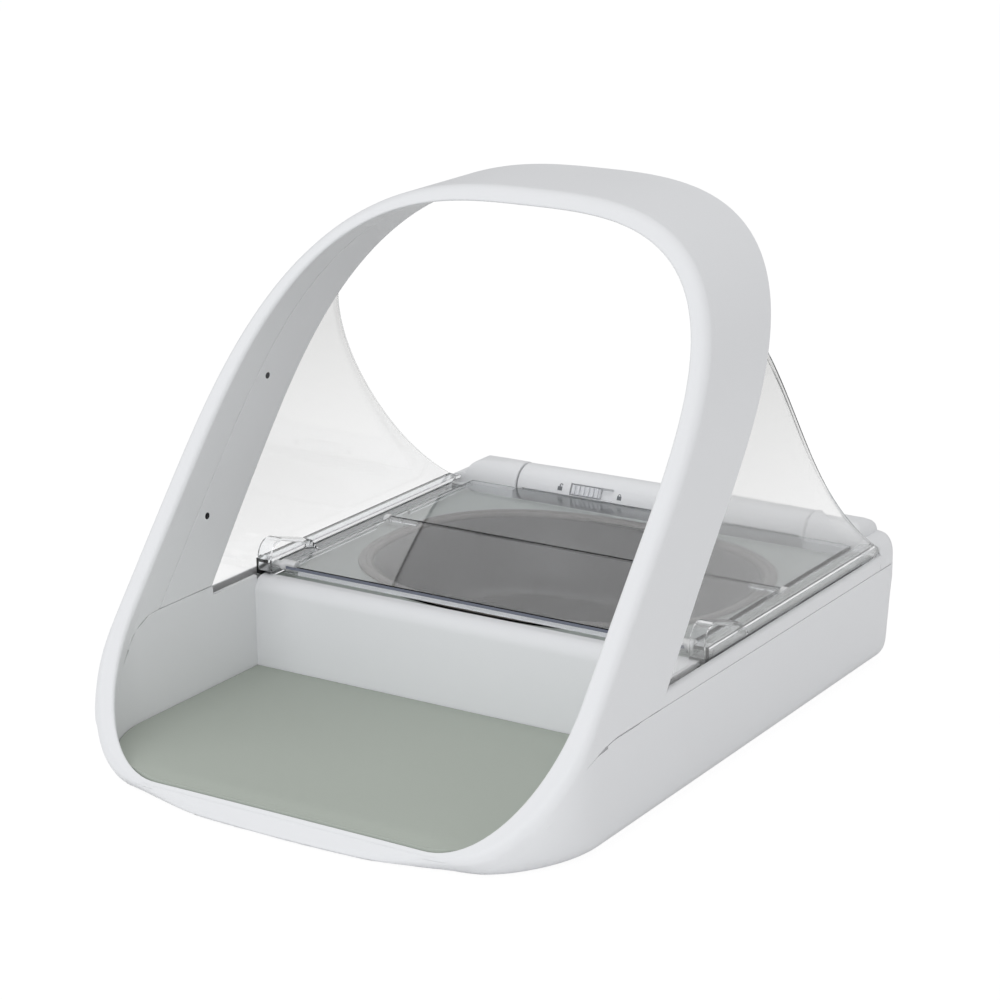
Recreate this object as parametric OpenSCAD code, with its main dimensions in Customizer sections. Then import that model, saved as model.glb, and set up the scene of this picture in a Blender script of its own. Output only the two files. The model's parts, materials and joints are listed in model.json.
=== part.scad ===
// Microchip pet feeder: a sloped hoop over an open feeding bay, and behind it a bowl
// under a clear lid of two leaves that folds up against the rear of the body.
// Origin: middle of the footprint, on the surface that the rubber feet stand on.
// -Y is the open front that the pet comes to, +X is the right side, +Z is up.

/* [Body] */
// Overall width
body_w = 230; // [224:1:236]
// Overall length from the front lip to the rear wall
body_l = 318; // [314:1:322]
// Overall height at the crown of the hoop
body_h = 220; // [210:1:226]
// Height of the seam between the lower body and the upper mouldings
seam_z = 45.3; // [45.1:0.1:45.5]
// Radius of the front corners seen from above
front_r = 39.5; // [36:0.5:42]
// How far the lower front edge is eased back on the way into its corners
front_ease = 6; // [3:0.5:7]
// How far the lower corners are eased back along the sides
side_ease = 10; // [6:0.5:11]
// Radius of the rear corners seen from above
rear_r = 14; // [12:0.5:16]
// Thickness of the outer walls
skin_t = 2; // [1.6:0.1:2]
// Thickness of the inner walls
liner_t = 1.8; // [1.5:0.1:1.8]

/* [Hoop] */
// Lean of the front face, run over rise at the bottom
front_lean = 0.781; // [0.76:0.001:0.8]
// Lean of the hoop's rear edge, run over rise at the bottom
back_lean = 0.649; // [0.63:0.001:0.66]
// Place of the hoop's rear edge, carried down to the floor
back_y = -97; // [-99:0.5:-95]
// Half width of the opening through the hoop
hole_hw = 106; // [105:0.5:106.5]
// Height of the opening's crown
hole_top = 213.8; // [213:0.1:214]
// Width of the front moulding's inner return, measured along Y
return_w = 20.5; // [18:0.5:22]
// Radius of the presence sensor holes
sensor_r = 1.5; // [1.2:0.1:1.8]

/* [Feeding bay] */
// Height of the bay's floor
bay_floor = 7.5; // [7.3:0.1:7.7]
// Place of the wall between the bay and the bowl
bay_wall_y = -31; // [-32:0.5:-30]
// Thickness of the soft mat
mat_t = 3; // [2.5:0.1:3]
// How far the mat lifts out along Z
mat_lift = 45; // [20:1:60]

/* [Bowl] */
// Half length of the bowl's rim along X
bowl_a = 92; // [90:0.5:93]
// Half width of the bowl's rim along Y
bowl_b = 69; // [67:0.5:70]
// Middle of the bowl along Y
bowl_y = 52; // [51:0.5:53]
// Depth of the bowl
bowl_depth = 34; // [30:1:35]

/* [Lid] */
// Height of the hinge axis and of the guide pins
axis_z = 53; // [52.9:0.1:53.2]
// Place of the rear hinge axis
axis_y = 141; // [140.8:0.1:141.2]
// Place of the guide pins when the lid is shut
pin_y = -16.4; // [-16.6:0.1:-16.2]
// Half width of the lid
lid_hw = 98.8; // [98:0.1:99]
// Thickness of the lid leaves
lid_t = 2; // [1.8:0.1:2]
// Radius of the hinge barrel
barrel_r = 10.5; // [10.3:0.1:10.6]
// Half length of the hinge barrel
barrel_hl = 74.8; // [74:0.1:75]
// Radius of the guide pins
guide_r = 1.5; // [1.3:0.1:1.5]

/* [Controls and power] */
// Radius of the rear push buttons
button_r = 4.5; // [4:0.1:5]
// Travel of the rear push buttons
button_travel = 0.8; // [0.5:0.1:1]
// Travel of the lid lock
lock_travel = 7; // [5:0.5:7]
// Diameter of a C cell
cell_d = 26.2; // [25.5:0.1:26.2]
// Length of a C cell
cell_l = 50; // [49:0.1:50]

/* [Hidden] */
half_w = body_w / 2;
half_l = body_l / 2;
under_z = 1;
arch_z = 105;
arch_n = 2.9;
hole_z = 106.6;
hole_n = 3.09;
front_curve = 0.0003;
back_curve = 0.00076;
front_bow = 640;
rear_bow = 680;
front_cx = half_w - front_r;
rear_cx = half_w - rear_r;
front_by = front_bow - half_l;
rear_by = half_l - rear_bow;
front_cy = front_by - sqrt(pow(front_bow - front_r, 2) - pow(front_cx, 2));
rear_cy = rear_by + sqrt(pow(rear_bow - rear_r, 2) - pow(rear_cx, 2));
front_a = atan2(front_cy - front_by, front_cx);
rear_a = atan2(rear_cy - rear_by, rear_cx);
bay_r = 43;
bay_front = -153;
plate_inset = 10;
gap = 0.3;
mid_y = (axis_y + pin_y) / 2;
mid_z = axis_z - lid_t / 2;
lid_front = pin_y - 2.8;
knuckle_r = 1.8;
rim_z = 49.4;
deck_z = 48.4;
wing_cy = 244;
wing_cz = 252.7;
wing_r = 228;
track_y0 = -24;
track_y1 = 128;
lock_a = 24;
lock_x = -41.5;
cell_x = 89;
cell_z = 17;
door_x0 = 73.4;
door_x1 = 102.6;
door_y0 = -3;
door_y1 = 107;
sensor_spots = [[-17.5, 137.4], [-61.3, 86.3]];
button_x = [38, 62];
screw_spots = [[66, 139], [-66, 139], [40, -26.2], [-40, -26.2]];
feet_spots = [[62, -126], [-62, -126], [86, 128], [-86, 128]];

white = [0.91, 0.92, 0.93];
clear = [0.8, 0.86, 0.9, 0.45];
steel = [0.72, 0.73, 0.75];

// Points of an arc, leaving out the first one when skip is 1
function arc(cx, cy, r, a0, a1, n, skip = 0) =
    [for (i = [skip:n]) [cx + r * cos(a0 + (a1 - a0) * i / n), cy + r * sin(a0 + (a1 - a0) * i / n)]];

// A right half outline that starts and ends on the middle line, closed by its mirror image
function both_halves(p) = concat(p, [for (i = [len(p) - 2:-1:1]) [-p[i][0], p[i][1]]]);

// A quarter of a superellipse from the side up to the crown
function shoulder(a, h, z0, n, steps, skip = 0) =
    [for (i = [skip:steps]) i == steps ? [0, z0 + h]
        : [a * pow(cos(90 * i / steps), 2 / n), z0 + h * pow(sin(90 * i / steps), 2 / n)]];

// A soft step from 0 to 1
function soft_step(t) = let (s = max(0, min(1, t))) s * s * (3 - 2 * s);

// Points of a front edge w wide to each side, eased back as far as z is below their place on the front face
function eased(points, w, z) = [for (p = points)
    let (s = soft_step((p[0] - w + 23) / 23),
        rise = min(20, max(1, (p[1] + half_l) / front_lean)),
        share = max(0, 1 - (z - under_z) / rise))
    [p[0], p[1] + share * (front_ease * soft_step((p[0] - w + 70) / 47) * (1 - s) + side_ease * s)]];

// Outline of the body seen from above at height z, drawn in by d, and by f at the front
function plan_points(d, f, z = 99) = both_halves(concat(
    eased(concat(arc(0, front_by, front_bow - f, -90, front_a, 5),
        [for (i = [1:9]) let (a = front_a * (9 - i) / 9)
            [front_cx + (front_r - d) * cos(a), front_cy + (front_r - f) * sin(a)]]), half_w - d, z),
    arc(rear_cx, rear_cy, rear_r - d, 0, rear_a, 5),
    arc(0, rear_by, rear_bow - d, rear_a, 90, 3, 1)));

// Outline of the hoop seen from the front, drawn in by d
function arch_points(d) = both_halves(concat(
    [[0, -5], [half_w - d, -5]],
    shoulder(half_w - d, body_h - arch_z - d, arch_z, arch_n, 20)));

// Outline of the opening seen from the front, grown by d
function hole_points(d) = both_halves(concat(
    [[0, bay_floor - d], [hole_hw, bay_floor - d], [hole_hw + d, bay_floor]],
    shoulder(hole_hw + d, hole_top - hole_z + d, hole_z, hole_n, 20)));

// Outline of the bay seen from above, grown by d and open to the rear
function bay_points(d, rear) = both_halves(concat(
    [[0, bay_front - d]],
    arc(hole_hw - bay_r, bay_front + bay_r, bay_r + d, -90, 0, 10),
    [[hole_hw + d, rear], [0, rear]]));

// Place of the front face and of the hoop's rear edge at height z
function front_at(z) = -half_l + front_lean * (z - under_z) + front_curve * z * z;
function back_at(z) = back_y + back_lean * z + back_curve * z * z;

function front_line(d, z0, z1) = [for (i = [0:10]) let (z = z0 + (z1 - z0) * i / 10) [front_at(z) + d, z]];
function back_line(d, z0, z1) = [for (i = [0:10]) let (z = z1 - (z1 - z0) * i / 10) [back_at(z) + d, z]];

// Rim and walls of the bowl, seen from above
function oval(a, b, n, steps) = [for (i = [0:steps - 1]) let (t = 360 * i / steps, c = cos(t), s = sin(t))
    [a * sign(c) * pow(abs(c), 2 / n), b * sign(s) * pow(abs(s), 2 / n)]];

module along_x(x0, x1) {
    translate([x0, 0, 0]) rotate([90, 0, 90]) linear_extrude(x1 - x0) children();
}

module along_y(y0, y1) {
    translate([0, y1, 0]) rotate([90, 0, 0]) linear_extrude(y1 - y0) children();
}

module box(x0, x1, y0, y1, z0, z1) {
    translate([x0, y0, z0]) cube([x1 - x0, y1 - y0, z1 - z0]);
}

module rod_x(x0, x1, y, z, r) {
    translate([x0, y, z]) rotate([0, 90, 0]) cylinder(h = x1 - x0, r = r, $fn = 48);
}

module both_sides() {
    children();
    mirror([1, 0, 0]) children();
}

// The lower body's form: straight walls with a little draft and a rounded lower edge
module tub(d) {
    hull() {
        for (s = [[0, 9.5], [0.7, 6.6], [2.2, 4.4], [5, 2.9], [9, 2.2], [20, 1.6], [49, 0]])
            translate([0, 0, under_z + d + s[0]]) linear_extrude(0.01)
                polygon(plan_points(d + s[1], d + s[1] * 0.03, under_z + d + s[0]));
    }
}

// Everything behind the sloped front face
module behind_front(d) {
    along_x(-130, 130) polygon(concat(front_line(d, -2, 240), [[200, 240], [200, -2]]));
}

// The slab between the front face and the hoop's rear edge
module hoop_slab(d0, d1) {
    along_x(-130, 130) polygon(concat(front_line(d0, 20, 232), back_line(-d1, 20, 232)));
}

// The opening through the hoop and over the bay, grown by d
module hole(d) {
    intersection() {
        translate([0, 0, -10]) linear_extrude(240) polygon(bay_points(d, 200));
        along_y(-200, 200) polygon(hole_points(d));
    }
}

// The hoop's outer form drawn in by d
module arch(d) {
    intersection() {
        linear_extrude(240) polygon(plan_points(d, d));
        along_y(-200, 200) polygon(arch_points(d));
    }
}

// Side view of the seam outside, with lift for the upper mouldings
module below_seam(lift) {
    along_x(-130, 130) polygon([[-200, -5], [-200, 38 + lift], [-124, 38 + lift], [-116, 41.5 + lift],
        [-108, 44 + lift], [-98, seam_z + lift], [200, seam_z + lift], [200, -5]]);
}

// Side view of the seam inside the bay
module below_inner_seam(lift) {
    along_x(-130, 130) polygon(concat([[-200, -5], [-200, 36 + lift], [-122, 36 + lift]],
        arc(-98, 33 + lift, 22, 166, 90, 6),
        [[-60, 55 + lift], [-60, 51 + lift], [200, 51 + lift], [200, -5]]));
}

// Lower body: outer walls, front lip, bay floor, bay sides and the wall before the bowl
module base_shell() {
    color(white) union() {
        difference() {
            intersection() {
                tub(0);
                behind_front(0);
                below_seam(0);
            }
            difference() {
                intersection() {
                    tub(skin_t);
                    behind_front(3.2);
                }
                intersection() {
                    hole(liner_t + 0.2);
                    box(-120, 120, -200, bay_wall_y + liner_t, 0, 60);
                }
            }
            intersection() {
                hole(0);
                box(-120, 120, -200, bay_wall_y, 0, 60);
            }
            translate([0, 0, -1]) linear_extrude(under_z + skin_t + 1.1)
                polygon(plan_points(plate_inset, plate_inset, under_z));
            button_holes(0.25);
        }
        intersection() {
            difference() {
                intersection() {
                    hole(liner_t + 0.2);
                    behind_front(0.5);
                    box(-120, 120, -200, bay_wall_y + liner_t, 30, 60);
                }
                intersection() {
                    hole(0);
                    box(-120, 120, -200, bay_wall_y, 0, 60);
                }
            }
            below_inner_seam(0);
            box(-120, 120, -200, bay_wall_y + liner_t, 30, 60);
            union() {
                box(-108, -104, -200, 0, 30, 60);
                box(104, 108, -200, 0, 30, 60);
                box(-108, 108, bay_wall_y - 1, 0, 30, 43);
            }
        }
        bay_wall_curl();
        both_sides() box(104, half_w - skin_t - 0.2, -27, 127, 43.6, 46.2);
        both_sides() box(110, half_w - skin_t + 0.5, -27, 127, 43.6, 45);
        for (p = screw_spots) screw_boss(p);
    }
}

module bay_wall_curl() {
    difference() {
        along_x(-hole_hw - 1, hole_hw + 1) polygon(concat(
            [[bay_wall_y, 40]],
            arc(bay_wall_y + 6.5, 43.5, 6.5, 180, 90, 6),
            [[-22, 50], [-22, 47.8]],
            arc(bay_wall_y + 6.5, 43.5, 4.3, 90, 180, 6),
            [[bay_wall_y + 2.2, 40]]));
        both_sides() box(102.3, 112, track_y0 - gap, -20, 40, 60);
    }
}

module screw_boss(p) {
    difference() {
        union() {
            translate([p[0], p[1], under_z + skin_t + 0.1]) cylinder(h = 18, r = 3.6, $fn = 32);
            if (p[1] > 0) box(p[0] - 1, p[0] + 1, p[1], 154.5, 5, 20);
        }
        translate([p[0], p[1], 0]) cylinder(h = 16, r = 1.45, $fn = 24);
    }
}

// Underside plate with the two battery openings and the screw holes
module bottom_plate() {
    color([0.8, 0.81, 0.82]) difference() {
        translate([0, 0, under_z]) linear_extrude(skin_t)
            polygon(plan_points(plate_inset + gap, plate_inset + gap, under_z));
        both_sides() box(door_x0 - 1.6, door_x1 + gap, door_y0 - gap, door_y1 + gap, -1, 5);
        for (p = screw_spots) {
            translate([p[0], p[1], -1]) cylinder(h = 6, r = 1.7, $fn = 24);
            translate([p[0], p[1], -1]) cylinder(h = 2.9, r = 3.2, $fn = 32);
        }
    }
}

// Upper moulding: outer skin of the hoop, its front face, the inner return and the side rails
module hoop_shell() {
    color(white) difference() {
        union() {
            intersection() {
                difference() {
                    arch(0);
                    arch(skin_t);
                }
                hoop_slab(0, 0);
            }
            intersection() {
                difference() {
                    arch(0);
                    hole(0);
                }
                along_x(-130, 130) polygon(concat(front_line(0, 20, 232), [[front_at(232) + 3.2, 232]],
                    [for (i = [0:10]) let (z = 232 - 212 * i / 10) [front_at(z) + 3.2, z]]));
            }
            intersection() {
                difference() {
                    hole(liner_t);
                    hole(0);
                }
                along_x(-130, 130) polygon(concat(front_line(0.5, 20, 232), [[front_at(232) + return_w, 232]],
                    [for (i = [0:10]) let (z = 232 - 212 * i / 10) [front_at(z) + return_w, z]]));
                difference() {
                    box(-130, 130, -200, 200, 20, 240);
                    below_inner_seam(gap);
                }
            }
            both_sides() box(half_w - skin_t, half_w, -75, track_y1, seam_z + gap, 51.5);
        }
        below_seam(gap);
    }
}

// Inner skin of the hoop behind the return, with its rear face and the sensor holes
module hoop_liner() {
    color(white) difference() {
        union() {
            intersection() {
                difference() {
                    hole(liner_t);
                    hole(0);
                }
                hoop_slab(return_w + gap, 0);
                box(-130, 130, -200, 200, 55 + gap, 240);
            }
            intersection() {
                difference() {
                    arch(skin_t + 0.2);
                    hole(0);
                    difference() {
                        box(-130, 130, -200, 200, 0, 172);
                        arch(skin_t + 2.2);
                    }
                }
                along_x(-130, 130) polygon(concat(
                    [for (i = [0:10]) let (z = 20 + 212 * i / 10) [back_at(z) - 2.6, z]], back_line(0, 20, 232)));
                box(-130, 130, -200, 200, 55 + gap, 240);
            }
        }
        for (s = sensor_spots) rod_x(-120, 120, s[0], s[1], sensor_r);
    }
}

// Rear housing: the two hinge caps and the wall behind the barrel
module rear_housing() {
    color(white) difference() {
        intersection() {
            linear_extrude(70) polygon(plan_points(0, 0));
            union() {
                both_sides() difference() {
                    intersection() {
                        along_x(barrel_hl + 0.5, half_w + 1) union() {
                            translate([axis_y, axis_z]) circle(r = barrel_r - 0.2, $fn = 64);
                            translate([axis_y, 40]) square([40, 24]);
                            translate([track_y1 + gap, 40]) square([20, 11.5]);
                        }
                        along_y(100, 200) polygon(concat([[60, 30], [half_w, 30]],
                            arc(half_w - 10.2, 51.8, 9.7, 0, 90, 6), [[60, 63.8]]));
                    }
                    rod_x(barrel_hl + 2.4, 106, axis_y, axis_z, 8.4);
                    box(barrel_hl + 2.4, 106, axis_y - 8.4, axis_y + 8.4, 30, axis_z);
                    rod_x(barrel_hl - 1, barrel_hl + 3, axis_y, axis_z, 3.2);
                    box(half_w - 4.1, half_w - 1.9, track_y1 - 1, 136, 46, 70);
                }
                intersection() {
                    difference() {
                        box(-barrel_hl - 1, barrel_hl + 1, 140, 170, 40, 60);
                        linear_extrude(70) polygon(plan_points(skin_t, skin_t));
                    }
                    box(-barrel_hl - 1, barrel_hl + 1, 140, 170, 40, 60);
                }
            }
        }
        below_seam(gap);
    }
}

// Deck round the bowl, with a collar below that steadies the bowl
module bowl_tray() {
    color([0.66, 0.69, 0.66]) difference() {
        union() {
            box(-108.6, 108.6, -21.6, 127.5, deck_z - 2, deck_z);
            translate([0, bowl_y, deck_z - 9]) linear_extrude(8) polygon(oval(bowl_a - 1.5, bowl_b - 1.5, 2.5, 64));
        }
        translate([0, bowl_y, 0]) linear_extrude(60) polygon(oval(bowl_a - 3.5, bowl_b - 3.5, 2.5, 64));
    }
}

// The bowl: a flat rim, sloping walls and a flat floor
module bowl() {
    color([0.27, 0.25, 0.24]) translate([0, bowl_y, 0]) difference() {
        union() {
            translate([0, 0, deck_z]) linear_extrude(rim_z - deck_z) polygon(oval(bowl_a, bowl_b, 2.5, 64));
            bowl_form(0, rim_z - bowl_depth);
        }
        bowl_form(1.8, rim_z - bowl_depth + 1.8);
    }
}

module bowl_form(d, z0) {
    translate([0, 0, rim_z]) mirror([0, 0, 1]) linear_extrude(rim_z - z0, scale = [0.76, 0.72], slices = 1)
        polygon(oval(bowl_a - 4.2 - d, bowl_b - 4.2 - d, 2.5, 64));
}

// Soft mat on the bay floor
module mat() {
    color([0.66, 0.69, 0.65]) intersection() {
        translate([0, 0, bay_floor + 0.1]) linear_extrude(mat_t - 0.1) polygon(bay_points(-0.4, bay_wall_y - 0.4));
        behind_front(0.7);
    }
}

// Clear side wing: bent to the hoop's form, cut by a hollow arc at the rear
module wing() {
    color(clear) intersection() {
        difference() {
            arch(skin_t + 0.1);
            arch(skin_t + 1.9);
        }
        difference() {
            along_x(100, 116) polygon(concat(
                [for (i = [0:10]) let (z = 46 + 134 * i / 10) [back_at(z) - (z < 52 ? 0 : 5), z]],
                [[back_at(180) + 60, 180], [136, 100], [135.5, 46]]));
            rod_x(90, 120, wing_cy, wing_cz, wing_r);
        }
        box(100, 116, -80, 135.5, 46.6, 171);
    }
}

module wing_right() {
    wing();
}

module wing_left() {
    mirror([1, 0, 0]) wing();
}

// Clear track: a channel for the guide pin, with a rounded ear at its front end
module track() {
    color(clear) difference() {
        union() {
            box(102.6, 110.9, track_y0, track_y1, 49.2, 51.2);
            box(109.4, 110.9, track_y0, track_y1, 49.2, 56.2);
            box(104.2, 110.9, track_y0, track_y1, 54.8, 56.2);
            along_x(102.6, 104.2) polygon(concat([[track_y0, 49.2], [track_y0, 58]],
                arc(-16.5, 57, 7.5, 170, 60, 6), [[6, 58], [14, 51.2], [14, 49.2]]));
            box(102.6, 110.9, track_y0, track_y0 + 1.6, 49.2, 56.2);
        }
        box(100, 104.3, pin_y - guide_r - 0.6, 60, 51.2, 54.8);
    }
}

module track_right() {
    track();
}

module track_left() {
    mirror([1, 0, 0]) track();
}

// Hinge barrel that carries the rear leaf, a little fuller in its middle
module hinge_barrel() {
    color(white) difference() {
        translate([-barrel_hl, axis_y, axis_z]) rotate([0, 90, 0]) rotate_extrude($fn = 64) polygon(concat(
            [[0, 0]], [for (i = [0:8]) let (t = i / 4 - 1) [barrel_r - 0.5 * t * t, barrel_hl * (t + 1)]],
            [[0, 2 * barrel_hl]]));
        box(-barrel_hl + 3, barrel_hl - 3, axis_y - 12, axis_y - 7, mid_z - 0.02, axis_z + lid_t / 2 + 0.02);
        lock_frame() box(-4, 19, -2.9, 2.9, barrel_r - 2.6, barrel_r + 4);
        rod_x(-barrel_hl - 1, -barrel_hl + 9, axis_y, axis_z, 1.5);
        rod_x(barrel_hl - 10, barrel_hl + 1, axis_y, axis_z, 2.5);
    }
}

// Local frame of the lock on the barrel: X along the barrel, Z out of its surface
module lock_frame() {
    translate([lock_x, axis_y, axis_z]) rotate([90 - lock_a, 0, 0]) children();
}

module lock_slider() {
    color(white) lock_frame() {
        box(-3.7, 11.7, -2.3, 2.3, barrel_r - 2.3, barrel_r - 0.9);
        for (i = [0:5]) box(-2.6 + 2.5 * i, -1.4 + 2.5 * i, -2.2, 2.2, barrel_r - 1, barrel_r - 0.1);
    }
}

// Rear leaf of the lid, with a knuckle at each side
module lid_rear() {
    color(clear) difference() {
        union() {
            box(-lid_hw, lid_hw, mid_y + 0.35, axis_y - barrel_r - 0.3, mid_z, mid_z + lid_t);
            box(-barrel_hl + 3.2, barrel_hl - 3.2, axis_y - 14, axis_y - 7.3, mid_z, mid_z + lid_t);
            both_sides() rod_x(92, lid_hw, mid_y, mid_z, knuckle_r);
        }
        both_sides() rod_x(83, 91.8, mid_y, mid_z, knuckle_r + 0.35);
        both_sides() rod_x(91, 100, mid_y, mid_z, 0.8);
    }
}

// Front leaf of the lid, with knuckles at the rear and pin bosses at the front
module lid_front() {
    color(clear) difference() {
        union() {
            box(-lid_hw, lid_hw, lid_front, mid_y - 0.35, mid_z, mid_z + lid_t);
            both_sides() rod_x(84, 91.6, mid_y, mid_z, knuckle_r);
            both_sides() rod_x(94, lid_hw, pin_y, axis_z, 2.4);
        }
        both_sides() rod_x(91.8, 100, mid_y, mid_z, knuckle_r + 0.35);
        both_sides() rod_x(83, 92, mid_y, mid_z, 0.86);
        both_sides() rod_x(95, 100, pin_y, axis_z, guide_r);
    }
}

module mid_pin() {
    color(white) union() {
        rod_x(84.5, 99.4, mid_y, mid_z, 0.8);
        rod_x(99, 100.8, mid_y, mid_z, 2.1);
    }
}

module mid_pin_right() {
    mid_pin();
}

module mid_pin_left() {
    mirror([1, 0, 0]) mid_pin();
}

module guide_pin() {
    color(white) rod_x(95, 108.8, pin_y, axis_z, guide_r);
}

module guide_pin_right() {
    guide_pin();
}

module guide_pin_left() {
    mirror([1, 0, 0]) guide_pin();
}

// Geared motor in the left cap, on the hinge axis, and the shaft that turns the barrel
module gear_motor() {
    color(steel) difference() {
        union() {
            rod_x(-104, -88, axis_y, axis_z, 6);
            rod_x(-88, -79, axis_y, axis_z, 7.8);
            rod_x(-105.4, -104, axis_y, axis_z, 2.5);
        }
        rod_x(-84, -78, axis_y, axis_z, 1.56);
    }
}

module drive_shaft() {
    color(steel) rod_x(-83.6, -barrel_hl + 9, axis_y, axis_z, 1.5);
}

module pivot_pin() {
    color(steel) rod_x(barrel_hl - 10, 86, axis_y, axis_z, 2.5);
}

module pivot_bush() {
    color([0.85, 0.8, 0.6]) difference() {
        rod_x(barrel_hl + 2.6, 88, axis_y, axis_z, 8.2);
        rod_x(barrel_hl + 2, 86.4, axis_y, axis_z, 2.56);
    }
}

// Control board with its press switches, a chip and the antenna connector
module circuit_board() {
    color([0.1, 0.35, 0.2]) union() {
        box(14, 84, 143, 144.6, 21, 41.5);
        for (x = button_x) box(x - 3, x + 3, 144.5, 149, 27, 33);
        box(20, 32, 141.2, 143.1, 25, 35);
        box(46, 54, 141.5, 143.1, 24, 30);
        box(70, 81, 138, 143.1, 24, 32);
    }
}

// Flat loop antenna between the skins, all the way round the hoop and under the bay
module antenna() {
    color([0.72, 0.45, 0.2]) intersection() {
        difference() {
            intersection() {
                union() {
                    tub(skin_t + 0.3);
                    arch_upper(skin_t + 0.3);
                }
                arch(skin_t + 0.3);
            }
            intersection() {
                union() {
                    tub(skin_t + 0.75);
                    arch_upper(skin_t + 0.75);
                }
                arch(skin_t + 0.75);
            }
        }
        along_x(-130, 130) polygon(concat(front_line(39, 0, 232), [for (i = [0:10])
            let (z = 232 - 232 * i / 10) [front_at(z) + 46, z]]));
    }
}

module arch_upper(d) {
    translate([0, 0, 48]) linear_extrude(190) polygon(plan_points(d, d));
}

// Presence sensors behind the holes in the liner
module sensors() {
    color([0.12, 0.12, 0.14]) for (s = sensor_spots) {
        rod_x(hole_hw + 0.4, hole_hw + 2.2, s[0], s[1], 1.2);
        rod_x(hole_hw + 2.1, hole_hw + 4, s[0], s[1], 2.6);
    }
}

module sensors_right() {
    sensors();
}

module sensors_left() {
    mirror([1, 0, 0]) sensors();
}

// Two C cells end to end
module cells() {
    for (i = [0, 1]) translate([cell_x, 1.5 + (cell_l + 1.2) * i, cell_z]) rotate([-90, 0, 0])
        color([0.2, 0.2, 0.22]) union() {
            cylinder(h = cell_l - 2, d = cell_d, $fn = 64);
            translate([0, 0, cell_l - 2.1]) cylinder(h = 2, d = 7, $fn = 32);
        }
}

module cells_right() {
    cells();
}

module cells_left() {
    mirror([1, 0, 0]) cells();
}

// Battery case over the cells, open below
module cell_case() {
    color([0.75, 0.76, 0.77]) difference() {
        along_y(door_y0, door_y1) polygon([[74, 3.4], [104, 3.4], [104, 32], [82, 32], [74, 22]]);
        box(75.3, 102.7, door_y0 + 1.5, door_y1 - 1.5, 3, 17);
        translate([cell_x, door_y0 + 1.5, cell_z]) rotate([-90, 0, 0])
            cylinder(h = door_y1 - door_y0 - 3, r = 13.7, $fn = 64);
    }
}

module cell_case_right() {
    cell_case();
}

module cell_case_left() {
    mirror([1, 0, 0]) cell_case();
}

// End contacts: a flat plate at one end and a coned spring stack at the other
module contacts() {
    color(steel) {
        box(cell_x - 7, cell_x + 7, 103.3, 103.9, 9, 26);
        box(cell_x - 7, cell_x + 7, -1.2, -0.6, 9, 26);
        translate([cell_x, -0.7, cell_z]) rotate([-90, 0, 0]) cylinder(h = 1.9, r1 = 6, r2 = 4, $fn = 32);
    }
}

module contacts_right() {
    contacts();
}

module contacts_left() {
    mirror([1, 0, 0]) contacts();
}

// Hinged battery door, level with the underside plate
module door() {
    color([0.8, 0.81, 0.82]) difference() {
        union() {
            box(door_x0, door_x1, door_y0, door_y1, under_z + 0.2, under_z + 1.8);
            translate([door_x0, door_y0, under_z + 1]) rotate([-90, 0, 0])
                cylinder(h = door_y1 - door_y0, r = 0.95, $fn = 24);
        }
        box(door_x1 - 9, door_x1 - 4, 44, 60, 0, under_z + 0.8);
    }
}

module door_right() {
    door();
}

module door_left() {
    mirror([1, 0, 0]) door();
}

module button_holes(d) {
    for (x = button_x) translate([x, 130, 30]) rotate([-90, 0, 0]) cylinder(h = 40, r = button_r + d, $fn = 48);
    translate([50, 145, 39.5]) rotate([-90, 0, 0]) cylinder(h = 30, r = 1.8 + d, $fn = 32);
}

function rear_at(x) = rear_by + sqrt(rear_bow * rear_bow - x * x);

module button(x) {
    color([0.62, 0.65, 0.68]) translate([x, 0, 30]) rotate([-90, 0, 0]) union() {
        translate([0, 0, 150.2]) cylinder(h = rear_at(x) - 149.9, r = button_r, $fn = 48);
    }
}

module pair_button() {
    button(button_x[0]);
}

module open_button() {
    button(button_x[1]);
}

// Status light in the rear wall, above the buttons
module status_lens() {
    color([0.75, 0.85, 0.8, 0.6]) translate([50, 151, 39.5]) rotate([-90, 0, 0])
        cylinder(h = rear_at(50) - 151.4, r = 1.8, $fn = 32);
}

module feet() {
    color([0.3, 0.3, 0.31]) for (p = feet_spots) translate([p[0], p[1], 0]) cylinder(h = under_z, r = 6, $fn = 40);
}

module screws() {
    color(steel) for (p = screw_spots) translate([p[0], p[1], under_z]) difference() {
        union() {
            cylinder(h = 0.87, r = 2.8, $fn = 32);
            cylinder(h = 12, r = 1.4, $fn = 24);
        }
        translate([-1.8, -0.35, -1]) cube([3.6, 0.7, 1.5]);
        translate([-0.35, -1.8, -1]) cube([0.7, 3.6, 1.5]);
    }
}

base_shell();
bottom_plate();
hoop_shell();
hoop_liner();
rear_housing();
bowl_tray();
bowl();
mat();
wing_left();
wing_right();
track_left();
track_right();
hinge_barrel();
lid_rear();
lid_front();
mid_pin_left();
mid_pin_right();
guide_pin_left();
guide_pin_right();
lock_slider();
drive_shaft();
gear_motor();
pivot_pin();
pivot_bush();
circuit_board();
antenna();
sensors_left();
sensors_right();
cells_left();
cells_right();
cell_case_left();
cell_case_right();
contacts_left();
contacts_right();
door_left();
door_right();
pair_button();
open_button();
status_lens();
feet();
screws();
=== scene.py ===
import json
from math import atan2, cos, degrees, hypot, pi, radians, sin, sqrt

import bmesh
import bpy
from mathutils import Matrix, Vector


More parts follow.
